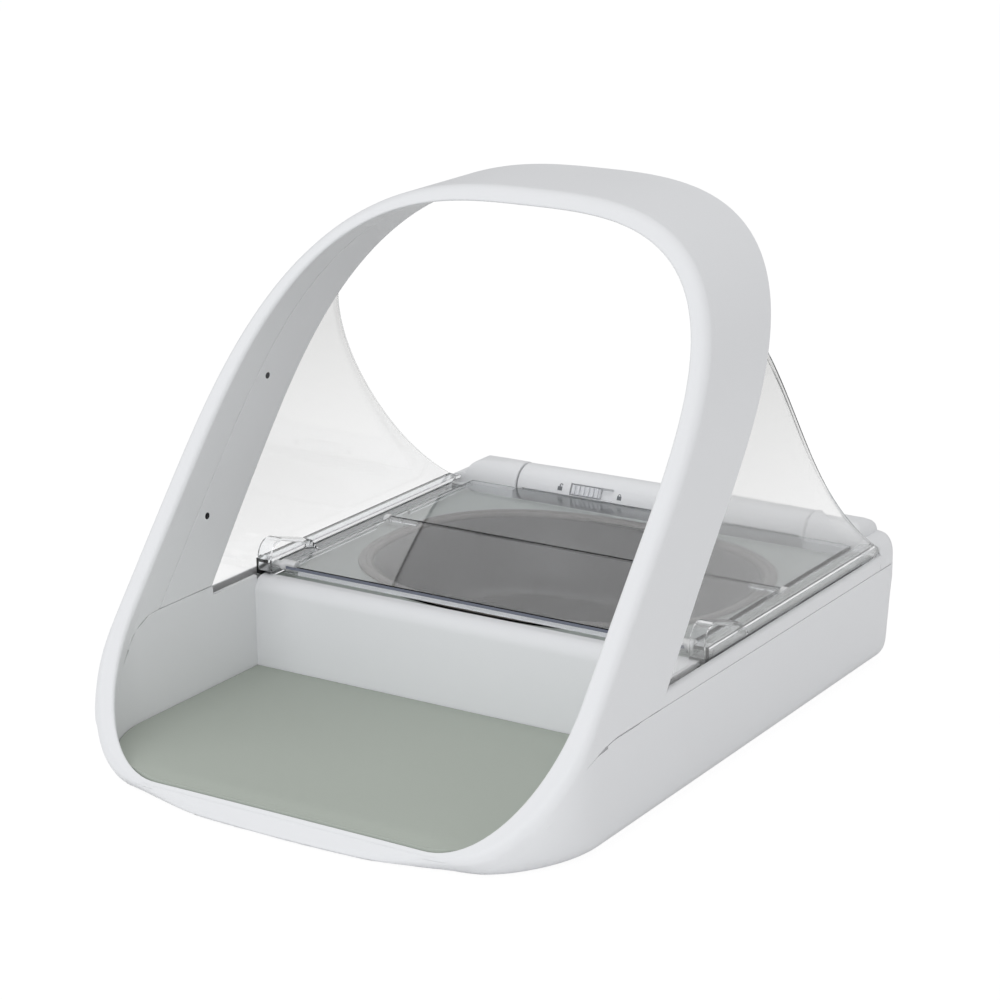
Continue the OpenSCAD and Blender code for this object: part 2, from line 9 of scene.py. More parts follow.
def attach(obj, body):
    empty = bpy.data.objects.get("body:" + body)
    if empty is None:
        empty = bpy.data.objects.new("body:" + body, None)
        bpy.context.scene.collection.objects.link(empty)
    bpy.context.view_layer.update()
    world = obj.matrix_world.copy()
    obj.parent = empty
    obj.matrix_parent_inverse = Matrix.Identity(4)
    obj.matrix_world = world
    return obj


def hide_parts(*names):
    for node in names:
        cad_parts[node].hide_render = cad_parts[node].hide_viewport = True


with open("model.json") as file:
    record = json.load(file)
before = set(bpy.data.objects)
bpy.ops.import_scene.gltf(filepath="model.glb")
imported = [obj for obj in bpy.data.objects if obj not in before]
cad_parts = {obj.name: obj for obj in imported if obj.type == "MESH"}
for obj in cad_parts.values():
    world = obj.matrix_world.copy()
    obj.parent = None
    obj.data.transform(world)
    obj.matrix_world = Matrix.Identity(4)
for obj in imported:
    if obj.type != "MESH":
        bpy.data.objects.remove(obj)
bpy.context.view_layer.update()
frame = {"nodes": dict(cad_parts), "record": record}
print("frame loaded:", len(frame["nodes"]), "solids")

mm = 0.001


# the camera stands where the photograph was taken from
camera = {"azimuth": 32.786, "elevation": 17.01, "roll": -0.68, "lens": 101.583,
          "place": (0.60807, -0.94345, 0.43690)}


def setCamera():
    data = bpy.data.cameras.new("camera")
    data.lens = camera["lens"]
    data.sensor_width = 36
    data.clip_start = 0.05
    data.clip_end = 30
    eye = bpy.data.objects.new("camera", data)
    bpy.context.scene.collection.objects.link(eye)
    turn = (Matrix.Rotation(radians(camera["azimuth"]), 4, "Z")
            @ Matrix.Rotation(radians(90 - camera["elevation"]), 4, "X")
            @ Matrix.Rotation(radians(camera["roll"]), 4, "Z"))
    eye.matrix_world = Matrix.Translation(camera["place"]) @ turn
    bpy.context.scene.camera = eye


# soft studio light: a pale room, one broad lamp from the front and weak ones from above and both sides
studio = {"roomLevel": 0.62, "mirrorLevel": 0.3, "roomColour": (0.985, 0.99, 1.0, 1), "white": (1, 1, 1, 1),
          "floorColour": (0.92, 0.92, 0.92, 1), "floorOwnLight": 0.9, "floorGlow": 1.05, "floorHalf": 4.0}
lamps = [{"name": "front", "place": (0.15, -2.4, 1.1), "aim": (0, 0, 0.08), "size": 1.8, "watts": 20,
          "colour": (0.95, 0.97, 1.0)},
         {"name": "top", "place": (-0.3, 0.5, 2.3), "aim": (0, 0.05, 0.05), "size": 1.8, "watts": 9},
         {"name": "left", "place": (-2.0, -0.6, 1.6), "aim": (0, 0, 0.08), "size": 1.6, "watts": 5},
         {"name": "right", "place": (2.2, -0.5, 0.7), "aim": (0, 0, 0.05), "size": 1.6, "watts": 3}]


# a shader node: its settings first, then a value or a link for each input
def shader(tree, kind, inputs, **settings):
    fresh = tree.nodes.new("ShaderNode" + kind)
    for key, value in settings.items():
        setattr(fresh, key, value)
    for key, value in inputs.items():
        if isinstance(value, bpy.types.NodeSocket):
            tree.links.new(value, fresh.inputs[key])
        else:
            fresh.inputs[key].default_value = value
    return fresh


# 1 for the rays that carry the backdrop: straight to the camera, or through clear plastic
def seenDirectly(tree):
    path = shader(tree, "LightPath", {})
    rays = {0: path.outputs["Is Camera Ray"], 1: path.outputs["Is Transmission Ray"]}
    return shader(tree, "Math", rays, operation="MAXIMUM").outputs[0]


def setStudio():
    scene = bpy.context.scene
    scene.view_settings.view_transform = "Standard"
    world = bpy.data.worlds.new("room")
    scene.world = world
    world.use_nodes = True
    tree = world.node_tree
    tree.nodes.clear()
    path = shader(tree, "LightPath", {})
    level = shader(tree, "MapRange", {"Value": path.outputs["Is Glossy Ray"], "To Min": studio["roomLevel"],
                                      "To Max": studio["mirrorLevel"]})
    room = shader(tree, "Background", {"Color": studio["roomColour"], "Strength": level.outputs[0]})
    backdrop = shader(tree, "Background", {"Color": studio["white"], "Strength": 1.0})
    mix = shader(tree, "MixShader", {0: seenDirectly(tree), 1: room.outputs[0], 2: backdrop.outputs[0]})
    shader(tree, "OutputWorld", {"Surface": mix.outputs[0]})

    bm = bmesh.new()
    bmesh.ops.create_grid(bm, x_segments=1, y_segments=1, size=studio["floorHalf"])
    mesh = bpy.data.meshes.new("floor")
    bm.to_mesh(mesh)
    bm.free()
    floor = bpy.data.objects.new("floor", mesh)
    scene.collection.objects.link(floor)
    paint = bpy.data.materials.new("floorPaint")
    paint.use_nodes = True
    tree = paint.node_tree
    tree.nodes.clear()
    matt = shader(tree, "BsdfDiffuse", {"Color": studio["floorColour"]})
    glow = shader(tree, "Emission", {"Color": studio["white"], "Strength": studio["floorGlow"]})
    share = shader(tree, "Math", {0: seenDirectly(tree), 1: studio["floorOwnLight"]}, operation="MULTIPLY")
    mix = shader(tree, "MixShader", {0: share.outputs[0], 1: matt.outputs[0], 2: glow.outputs[0]})
    shader(tree, "OutputMaterial", {"Surface": mix.outputs[0]})
    mesh.materials.append(paint)

    for lamp in lamps:
        data = bpy.data.lights.new(lamp["name"], "AREA")
        data.size = lamp["size"]
        data.energy = lamp["watts"]
        data.color = lamp.get("colour", (1, 1, 1))
        light = bpy.data.objects.new(lamp["name"], data)
        scene.collection.objects.link(light)
        aim = Vector(lamp["aim"]) - Vector(lamp["place"])
        light.matrix_world = Matrix.Translation(lamp["place"]) @ aim.to_track_quat("-Z", "Y").to_matrix().to_4x4()


setCamera()
setStudio()
print("camera and studio set")


# finishes: moulded plastics with a fine skin, a little colour drift and soft wear in the gloss
finishKeys = ("colour", "drift", "rough", "grain", "relief")
finishRows = {
    "satinWhite": ((0.80, 0.805, 0.815), 0.012, 0.42, 1500, 0.05),
    "gripWhite": ((0.74, 0.75, 0.77), 0.015, 0.5, 1300, 0.08),
    "sealWhite": ((0.93, 0.93, 0.93), 0.01, 0.6, 900, 0.05),
    "pinWhite": ((0.82, 0.82, 0.82), 0.01, 0.38, 1200, 0.04),
    "warmGreyUnderside": ((0.62, 0.63, 0.64), 0.03, 0.55, 900, 0.12),
    "sageDeck": ((0.43, 0.465, 0.44), 0.02, 0.5, 1200, 0.06),
    "sageMat": ((0.42, 0.455, 0.405), 0.03, 0.62, 700, 0.16),
    "darkBowl": ((0.058, 0.054, 0.050), 0.08, 0.33, 1300, 0.05),
    # a dark slate colour for a thin strip on the lid's front edge: painted shade standing in for the dark line of the
    # clear edge
    "paintedEdgeShade": ((0.16, 0.175, 0.22), 0.06, 0.25, 900, 0.03),
    "buttonGrey": ((0.35, 0.37, 0.39), 0.03, 0.5, 1100, 0.1),
    "footRubber": ((0.12, 0.12, 0.125), 0.08, 0.8, 800, 0.3),
    "darkEye": ((0.012, 0.012, 0.015), 0.1, 0.25, 500, 0.02),
    "caseGrey": ((0.5, 0.51, 0.52), 0.03, 0.55, 900, 0.1),
    "bushNylon": ((0.66, 0.6, 0.42), 0.04, 0.5, 900, 0.08),
    "boardGreen": ((0.015, 0.12, 0.045), 0.2, 0.35, 300, 0.1),
    "cellWrap": ((0.03, 0.032, 0.036), 0.1, 0.3, 200, 0.02),
    "markGrey": ((0.17, 0.18, 0.19), 0.05, 0.5, 900, 0.03),
    "brushedSteel": ((0.62, 0.62, 0.63), 0.06, 0.28, 900, 0.06),
    "copperTape": ((0.72, 0.36, 0.2), 0.08, 0.35, 600, 0.05),
}
metals = ("brushedSteel", "copperTape")
clearPlastics = {
    "clearPlastic": {"tint": (0.955, 0.965, 0.975), "rough": 0.02, "haze": 0.02, "index": 1.45},
    "lidPlastic": {"tint": (0.95, 0.96, 0.975), "rough": 0.02, "haze": 0.02, "index": 1.4},
    "wingPlastic": {"tint": (0.955, 0.955, 0.955), "rough": 0.03, "haze": 0.03, "index": 1.45},
    "lensPlastic": {"tint": (0.75, 0.9, 0.8), "rough": 0.1, "haze": 0.2, "index": 1.49},
}
# a second colour that comes in between two heights, in metres: the bowl turns warm brown toward its rim, and the clear
# wings turn darker grey toward the top, which is painted shade
risingColoursAndShade = {"darkBowl": (0.0472, 0.0484, (0.15, 0.135, 0.12)), "wingPlastic": (0.05, 0.15, (0.74, 0.74, 0.735))}
texture = {"cloudScale": 9, "cloudDetail": 4, "fineDetail": 3, "depth": 0.0003, "wear": 0.05, "index": 1.46,
           "clearGrain": 60, "clearRelief": 0.02, "clearDepth": 0.0005}
made = {}


def finish(name):
    if name in made:
        return made[name]
    paint = bpy.data.materials.new(name)
    paint.use_nodes = True
    tree = paint.node_tree
    tree.nodes.clear()
    place = shader(tree, "TexCoord", {}).outputs["Object"]
    cloud = shader(tree, "TexNoise", {"Vector": place, "Scale": texture["cloudScale"],
                                      "Detail": texture["cloudDetail"]}).outputs["Fac"]
    if name in finishRows:
        look = dict(zip(finishKeys, finishRows[name]))
        grain, relief, depth = look["grain"], look["relief"], texture["depth"]
        light = [min(1, c * (1 + look["drift"])) for c in look["colour"]]
        dark = [c * (1 - look["drift"]) for c in look["colour"]]
        base = shader(tree, "Mix", {"Factor": cloud, "A": (*dark, 1), "B": (*light, 1)},
                      data_type="RGBA").outputs["Result"]
        glossy, dull = look["rough"] - texture["wear"], look["rough"] + texture["wear"]
        body = {"Metallic": 1.0 if name in metals else 0.0, "IOR": texture["index"]}
    else:
        look = clearPlastics[name]
        grain, relief, depth = texture["clearGrain"], texture["clearRelief"], texture["clearDepth"]
        base = (*look["tint"], 1)
        glossy, dull = look["rough"], look["rough"] + look["haze"]
        body = {"Transmission Weight": 1.0, "IOR": look["index"]}
    # on the wings this grey, darker toward the top, is painted shade
    if name in risingColoursAndShade:
        low, high, colour = risingColoursAndShade[name]
        height = shader(tree, "SeparateXYZ", {0: place}).outputs["Z"]
        rise = shader(tree, "MapRange", {"Value": height, "From Min": low, "From Max": high})
        base = shader(tree, "Mix", {"Factor": rise.outputs[0], "A": base, "B": (*colour, 1)},
                      data_type="RGBA").outputs["Result"]
    fine = shader(tree, "TexNoise", {"Vector": place, "Scale": grain, "Detail": texture["fineDetail"]})
    bump = shader(tree, "Bump", {"Height": fine.outputs["Fac"], "Strength": relief, "Distance": depth})
    gloss = shader(tree, "MapRange", {"Value": cloud, "To Min": glossy, "To Max": dull})
    skin = shader(tree, "BsdfPrincipled", {"Base Color": base, "Roughness": gloss.outputs[0],
                                           "Normal": bump.outputs[0], **body})
    shader(tree, "OutputMaterial", {"Surface": skin.outputs[0]})
    made[name] = paint
    return paint


print("finishes ready")


sameSpot = 0.0015


# every piece leaves through here: doubles merged, faces outward, then from mm to metres
def keep(name, bm, paint, body="feeder", stands=(), slot=None, edge=0.0, steps=3, weighted=False, sharp=32,
         wall=0.0, faces="recalc"):
    bmesh.ops.remove_doubles(bm, verts=bm.verts, dist=sameSpot)
    bmesh.ops.dissolve_degenerate(bm, edges=bm.edges, dist=0.0005)
    if faces == "recalc":
        bmesh.ops.recalc_face_normals(bm, faces=bm.faces)
    bmesh.ops.scale(bm, vec=(mm, mm, mm), verts=bm.verts)
    mesh = bpy.data.meshes.new(name)
    bm.to_mesh(mesh)
    bm.free()
    mesh.shade_smooth()
    mesh.set_sharp_from_angle(angle=radians(sharp))
    thing = bpy.data.objects.new(name, mesh)
    bpy.context.scene.collection.objects.link(thing)
    mesh.materials.append(finish(paint))
    if wall:
        thick = thing.modifiers.new("wall", "SOLIDIFY")
        thick.thickness = wall * mm
        thick.offset = -1
        thick.use_even_offset = True
    if edge:
        soft = thing.modifiers.new("edges", "BEVEL")
        soft.width = edge * mm
        soft.segments = steps
        soft.profile = 0.5
        soft.limit_method = "WEIGHT" if weighted else "ANGLE"
        soft.angle_limit = radians(sharp)
        soft.harden_normals = True
        soft.use_clamp_overlap = not weighted
    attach(thing, body)
    for node in stands:
        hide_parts(node)
    return thing


# sheets that meet are joined and open ends are filled
def closeUp(bm):
    bmesh.ops.remove_doubles(bm, verts=bm.verts, dist=sameSpot)
    bmesh.ops.holes_fill(bm, edges=[e for e in bm.edges if e.is_boundary], sides=0)


def weightLayer(bm):
    floats = bm.edges.layers.float
    return floats.get("bevel_weight_edge") or floats.new("bevel_weight_edge")


# a grid of vertices laid where place(i, j) says; weights(i, j) gives the edges along i their rounding
def laid(bm, across, along, place, weights=None):
    grid = bmesh.ops.create_grid(bm, x_segments=across, y_segments=along, size=0.5)["verts"]
    spots = {}
    for v in grid:
        spots[round((v.co.x + 0.5) * across), round((v.co.y + 0.5) * along)] = v
    for (i, j), v in spots.items():
        v.co = place(i, j)
    if weights:
        layer = weightLayer(bm)
        for j in range(along + 1):
            for i in range(across):
                w = weights(i, j)
                if w:
                    edge = bm.edges.get((spots[i, j], spots[i + 1, j]))
                    if edge:
                        edge[layer] = w
    return spots


# a flat outline pushed along one axis: points are (y, z), (x, z) or (x, y)
def pushed(bm, points, axis, low, high):
    spot = {"x": lambda p, d: (d, p[0], p[1]), "y": lambda p, d: (p[0], d, p[1]), "z": lambda p, d: (p[0], p[1], d)}
    verts = [bm.verts.new(spot[axis](p, low)) for p in points]
    face = bm.faces.new(verts)
    moved = bmesh.ops.extrude_face_region(bm, geom=[face])
    step = Vector(spot[axis]((0, 0), high - low))
    bmesh.ops.translate(bm, vec=step, verts=[g for g in moved["geom"] if isinstance(g, bmesh.types.BMVert)])


def block(bm, x0, x1, y0, y1, z0, z1):
    middle = Matrix.Translation(((x0 + x1) / 2, (y0 + y1) / 2, (z0 + z1) / 2))
    bmesh.ops.create_cube(bm, size=1, matrix=middle @ Matrix.Diagonal((x1 - x0, y1 - y0, z1 - z0, 1)))


def rodX(bm, x0, x1, y, z, r, sides=32):
    lying = Matrix.Translation(((x0 + x1) / 2, y, z)) @ Matrix.Rotation(pi / 2, 4, "Y")
    bmesh.ops.create_cone(bm, cap_ends=True, segments=sides, radius1=r, radius2=r, depth=x1 - x0, matrix=lying)


bothSides = ((1, "Right"), (-1, "Left"))


# two distances from the middle, as the low and the high x of one side
def onSide(side, a, b):
    return sorted((side * a, side * b))


def arc(cx, cy, r, a0, a1, count):
    return [(cx + r * cos(radians(a0 + (a1 - a0) * k / count)), cy + r * sin(radians(a0 + (a1 - a0) * k / count)))
            for k in range(count + 1)]


def smooth(t):
    t = max(0.0, min(1.0, t))
    return t * t * (3 - 2 * t)


def evenly(points, count):
    reach = [0.0]
    for a, b in zip(points, points[1:]):
        reach.append(reach[-1] + hypot(b[0] - a[0], b[1] - a[1]))
    result, k = [], 0
    for step in range(count + 1):
        want = reach[-1] * step / count
        while k < len(points) - 2 and reach[k + 1] < want:
            k += 1
        t = (want - reach[k]) / (reach[k + 1] - reach[k])
        (x0, y0), (x1, y1) = points[k], points[k + 1]
        result.append((x0 + t * (x1 - x0), y0 + t * (y1 - y0)))
    return result


# form of the body, in mm, as in the part's source
form = {"halfWidth": 115, "halfLength": 159, "top": 220, "archZ": 105, "archPower": 2.9,
        "holeHalf": 106, "holeZ": 106.6, "holeTop": 213.8, "holePower": 3.09,
        "frontR": 39.5, "frontCx": 75.5, "frontBow": 640, "rearR": 14, "rearCx": 101, "rearBow": 680,
        "bayFloor": 7.5, "bayWall": -31, "seam": 45.3, "gap": 0.3, "skin": 2, "liner": 1.8,
        "inlet": 20.5, "frontEase": 6, "sideEase": 10, "easeRise": 20, "easeEnd": -90, "easeReach": 70,
        "cornerReach": 23, "bayR": 43, "bayFront": -153, "frontSlope": 0.781, "frontCurve": 0.0003, "backStart": -97,
        "backSlope": 0.649, "backCurve": 0.00076}
bayCx, bayCy = form["holeHalf"] - form["bayR"], form["bayFront"] + form["bayR"]
frontBy = form["frontBow"] - form["halfLength"]
rearBy = form["halfLength"] - form["rearBow"]
frontCy = frontBy - sqrt((form["frontBow"] - form["frontR"]) ** 2 - form["frontCx"] ** 2)
rearCy = rearBy + sqrt((form["rearBow"] - form["rearR"]) ** 2 - form["rearCx"] ** 2)
frontA = degrees(atan2(frontCy - frontBy, form["frontCx"]))
rearA = degrees(atan2(rearCy - rearBy, form["rearCx"]))


# how far the outside is eased back at height z, below its place (x, y) on the front face
def undercut(x, y, z):
    near = abs(x) - form["halfWidth"]
    s = smooth((near + form["cornerReach"]) / form["cornerReach"])
    way = (near + form["easeReach"]) / (form["easeReach"] - form["cornerReach"])
    ease = form["frontEase"] * smooth(way) * (1 - s) + form["sideEase"] * s
    rise = min(form["easeRise"], max(1, (y + form["halfLength"]) / form["frontSlope"]))
    return ease * max(0, 1 - (z - 1) / rise)


def frontAt(z):
    return -form["halfLength"] + form["frontSlope"] * (z - 1) + form["frontCurve"] * z * z


def backAt(z):
    return form["backStart"] + form["backSlope"] * z + form["backCurve"] * z * z


def frontHeight(y):
    slope, curve = form["frontSlope"], form["frontCurve"]
    return (-slope + sqrt(slope ** 2 + 4 * curve * (y + form["halfLength"] + slope))) / (2 * curve)


def between(table, value):
    for (a, p), (b, q) in zip(table, table[1:]):
        if value <= b:
            return p + (q - p) * max(0, (value - a) / (b - a))
    return table[-1][1]


# the seam along the outside, rising behind the front face
seam = {"front": -124, "run": 26, "low": 38, "rise": 7.3, "power": 1.9}


def seamAt(y):
    t = max(0.0, min(1.0, (y - seam["front"]) / seam["run"]))
    return seam["low"] + seam["rise"] * (1 - (1 - t) ** seam["power"])


# the seam inside the opening: how far behind the front face it runs at each height, then level in two steps
innerSeam = [(30, 7.3), (36, 7.45), (40, 7.55), (44, 7.8), (48.6, 8.4), (52, 10.2), (53.8, 12.8), (54.8, 16.5),
             (55, 20)]
innerSeamLow = [(p, z) for z, p in innerSeam]
innerLevel = {"from": -97, "step": -59.4, "high": 55, "low": 51}


def innerSeamAt(y):
    if y > innerLevel["from"]:
        return innerLevel["high"] if y < innerLevel["step"] else innerLevel["low"]
    low, high = innerSeam[0][0], innerSeam[-1][0]
    for _ in range(20):
        mid = (low + high) / 2
        if frontAt(mid) + between(innerSeam, mid) < y:
            low = mid
        else:
            high = mid
    return low


# how far out the body reaches at y, and the bay at y
def planEdge(y, inset):
    for end, past in (("front", frontCy - y), ("rear", y - rearCy)):
        if past > 0:
            r = form[end + "R"] - inset
            return form[end + "Cx"] + r * sqrt(max(0, 1 - (past / r) ** 2))
    return form["halfWidth"] - inset


def bayEdge(y, grow):
    if y >= bayCy:
        return form["holeHalf"] + grow
    r = form["bayR"] + grow
    return bayCx + r * sqrt(max(0, 1 - ((bayCy - y) / r) ** 2))


# a point on the hoop: offset is measured back from the front face, share is a part of the hoop's depth
def onHoop(point, inner, amount, offset=None, share=None, foot=None):
    x0, z0 = point
    z, y = z0, 0
    for _ in range(6):
        y = frontAt(z) + (offset if share is None else share * (backAt(z) - frontAt(z)) + (offset or 0))
        if z0 < hoop["blendTop"]:
            low = foot or (between(innerSeamLow, y - frontAt(z)) if inner else seamAt(y)) + form["gap"]
            z = low + (z0 - hoop["foot"]) * (hoop["blendTop"] - low) / (hoop["blendTop"] - hoop["foot"])
    limit = bayEdge(y, amount) if inner else planEdge(y, amount)
    x = min(abs(x0), limit)
    return (x if x0 >= 0 else -x, y, z)


# front ring: face, lip and both fillets in one band that runs right round the opening
ring = {"bow": 24, "corner": 22, "edge": 3.6, "innerEdge": 2.2, "tail": 6.2, "hold": 4.4, "holdShare": 0.82,
        "fold": 3.4, "foldShare": 0.6, "outerDepth": 1.7, "innerDepth": 1.5, "sunk": 0.03, "skinStart": 5.6,
        "outerLow": 1.25, "innerLow": 5.8, "turnLow": 52, "turnRun": 22, "least": 0.35}
hoop = {"stations": 150, "foot": 45.6, "blendTop": 75, "rim": 0.4, "returnRim": 0.25, "returnHold": 12,
        "outerShares": (1.0, 0.8, 0.6, 0.42, 0.28, 0.19), "innerShares": (0.3, 0.6, 1.0),
        "returnSteps": (7.5, 7.8, 8.4, 9.2, 10.2, 11.5, 12.8, 14.5, 16.5, 18.5)}
tub = {"bottom": 1.0, "draft": 2.5, "draftHeight": 37, "draftPower": 0.8, "foot": 6.8, "footHeight": 9,
       "footPower": 2.3, "plate": 10, "frontShare": 0.03, "sideShare": 0.62, "shareStep": 0.02}


def tubInset(z):
    h = z - tub["bottom"]
    inset = tub["draft"] * max(0, 1 - h / tub["draftHeight"]) ** tub["draftPower"]
    if h < tub["footHeight"]:
        u = (1 - max(0, h) / tub["footHeight"]) ** tub["footPower"]
        inset += tub["foot"] * (1 - (1 - u) ** (1 / tub["footPower"]))
    return inset


# share of the front edge's run that is level, where it passes a place of the plan
def levelShare(line, kind, value):
    if kind == "side":
        return tub["sideShare"]
    a, b = (line(kind, max(0, min(1, value + step))) for step in (-tub["shareStep"], tub["shareStep"]))
    return hypot(b[0] - a[0], b[1] - a[1]) / sqrt(sum((p - q) ** 2 for p, q in zip(a, b)))


# right half of an arch from its foot to the crown, then both halves, evenly spaced
def archLine(half, rise, z0, power, foot, count):
    curve = [(half, foot)]
    for k in range(61):
        a = radians(90 * k / 60)
        curve.append((half * max(0, cos(a)) ** (2 / power), z0 + rise * sin(a) ** (2 / power)))
    right = evenly(curve, count // 2)
    right[-1] = (0, right[-1][1])
    return right + [(-x, z) for x, z in right[-2::-1]]


def outerArch(inset, foot=None):
    return archLine(form["halfWidth"] - inset, form["top"] - form["archZ"] - inset, form["archZ"], form["archPower"],
                    foot or hoop["foot"], hoop["stations"])


def holeArch(grow, foot=None):
    return archLine(form["holeHalf"] + grow, form["holeTop"] - form["holeZ"] + grow, form["holeZ"], form["holePower"],
                    foot or hoop["foot"], hoop["stations"])


# places round the front of the plan: the bow from the middle outward, then the corner
def frontSpots(bow, corner, end=0):
    return [("bow", k / bow) for k in range(bow)] + [("corner", k / corner) for k in range(corner + end)]


# plan of the outside at one of these places, or along a side (value is y) or the rear, at height z;
# d draws it in, and f draws in the front
def planPoint(kind, value, d, f=None, z=99):
    f = tub["frontShare"] * d if f is None else f
    if kind in ("bow", "corner"):
        if kind == "bow":
            a = radians(-90 + (frontA + 90) * value)
            x, y = (form["frontBow"] - f) * cos(a), frontBy + (form["frontBow"] - f) * sin(a)
        else:
            a = radians(frontA * (1 - value))
            x, y = form["frontCx"] + (form["frontR"] - d) * cos(a), frontCy + (form["frontR"] - f) * sin(a)
        return (x, y + undercut(x + d, y, z))
    if kind == "side":
        fade = max(0, (form["easeEnd"] - value) / (form["easeEnd"] - frontCy))
        return (form["halfWidth"] - d, value + fade * undercut(form["halfWidth"], frontCy, z))
    if kind == "rearCorner":
        a = radians(rearA * value)
        return (form["rearCx"] + (form["rearR"] - d) * cos(a), rearCy + (form["rearR"] - d) * sin(a))
    a = radians(rearA + (90 - rearA) * value)
    return ((form["rearBow"] - d) * cos(a), rearBy + (form["rearBow"] - d) * sin(a))


# the bay's outline in the same places: its corner starts a little before the outside's
def bayPoint(kind, value, grow):
    r, lead = form["bayR"], radians(15)
    if kind == "side":
        return (form["holeHalf"] + grow, value)
    if kind == "bow" and value * (bayCx + r * lead) < bayCx:
        return (value * (bayCx + r * lead), form["bayFront"] - grow)
    a = (value * (bayCx + r * lead) - bayCx) / r if kind == "bow" else pi / 2 - (pi / 2 - lead) * (1 - value)
    return (bayCx + (r + grow) * sin(a), bayCy - (r + grow) * cos(a))


# a point of the plan lifted onto the front face, kept a little off the floor at the middle of the lip
def onFront(x, y):
    z = frontHeight(y)
    if z < 4.4:
        z = 2.4 + 2 * max(0, (z - 1) / 3.4) ** 1.7
    return (x, frontAt(z), z)


# where the outside and the bay meet the front face
def outerEdge(kind, value):
    spot = onFront(*planPoint(kind, value, 0))
    for _ in range(4):
        spot = onFront(*planPoint(kind, value, tubInset(spot[2])))
    return spot


def innerEdge(kind, value):
    return onFront(*bayPoint(kind, value, 0))


def ringEdges():
    spots = frontSpots(ring["bow"], ring["corner"], 1)
    outer, inner = [outerEdge(*spot) for spot in spots], [innerEdge(*spot) for spot in spots]
    half = hoop["stations"] // 2
    outer += [(x, frontAt(z), z) for x, z in outerArch(0, frontHeight(frontCy))[1:half + 1]]
    inner += [(x, frontAt(z), z) for x, z in holeArch(0, frontHeight(bayCy))[1:half + 1]]
    return outer, inner


# a point of the line that runs a given distance behind the front edge: down at the sides, back over the arch
def behind(edge, k, distance, lowest, share=1.0):
    x, y, z = edge[k]
    a, b = Vector(edge[max(0, k - 1)]), Vector(edge[min(len(edge) - 1, k + 1)])
    run = b - a
    if k == 0:
        run = Vector((1, 0, 0))
    if k == len(edge) - 1:
        run = Vector((-1, 0, 0))
    run.normalize()
    flat = max(ring["least"], hypot(run.x, run.y))
    steep = max(ring["least"], hypot(run.x, run.z))
    w = 1 - smooth((z - ring["turnLow"]) / ring["turnRun"])
    down = min(distance / flat, share * max(0.2, (z - lowest)))
    return (x, y + (1 - w) * distance / steep, z - w * down), w


# closed sections, each a list of points and one of marks, laid as one sheet that runs along them
def laidAround(bm, around):
    count = len(around[0][0])
    laid(bm, len(around) - 1, count, lambda a, b: around[a][0][b % count],
         lambda a, b: min(around[a][1][b % count], around[a + 1][1][b % count]) / ring["edge"])


# the rail that carries the seam back along each side
rail = {"inner": 113.03, "outer": 114.97, "low": 45.6, "high": 51.5, "bend": (113.47, 50.0, 1.5, 0, 75, 5),
        "front": -75, "rear": 128}


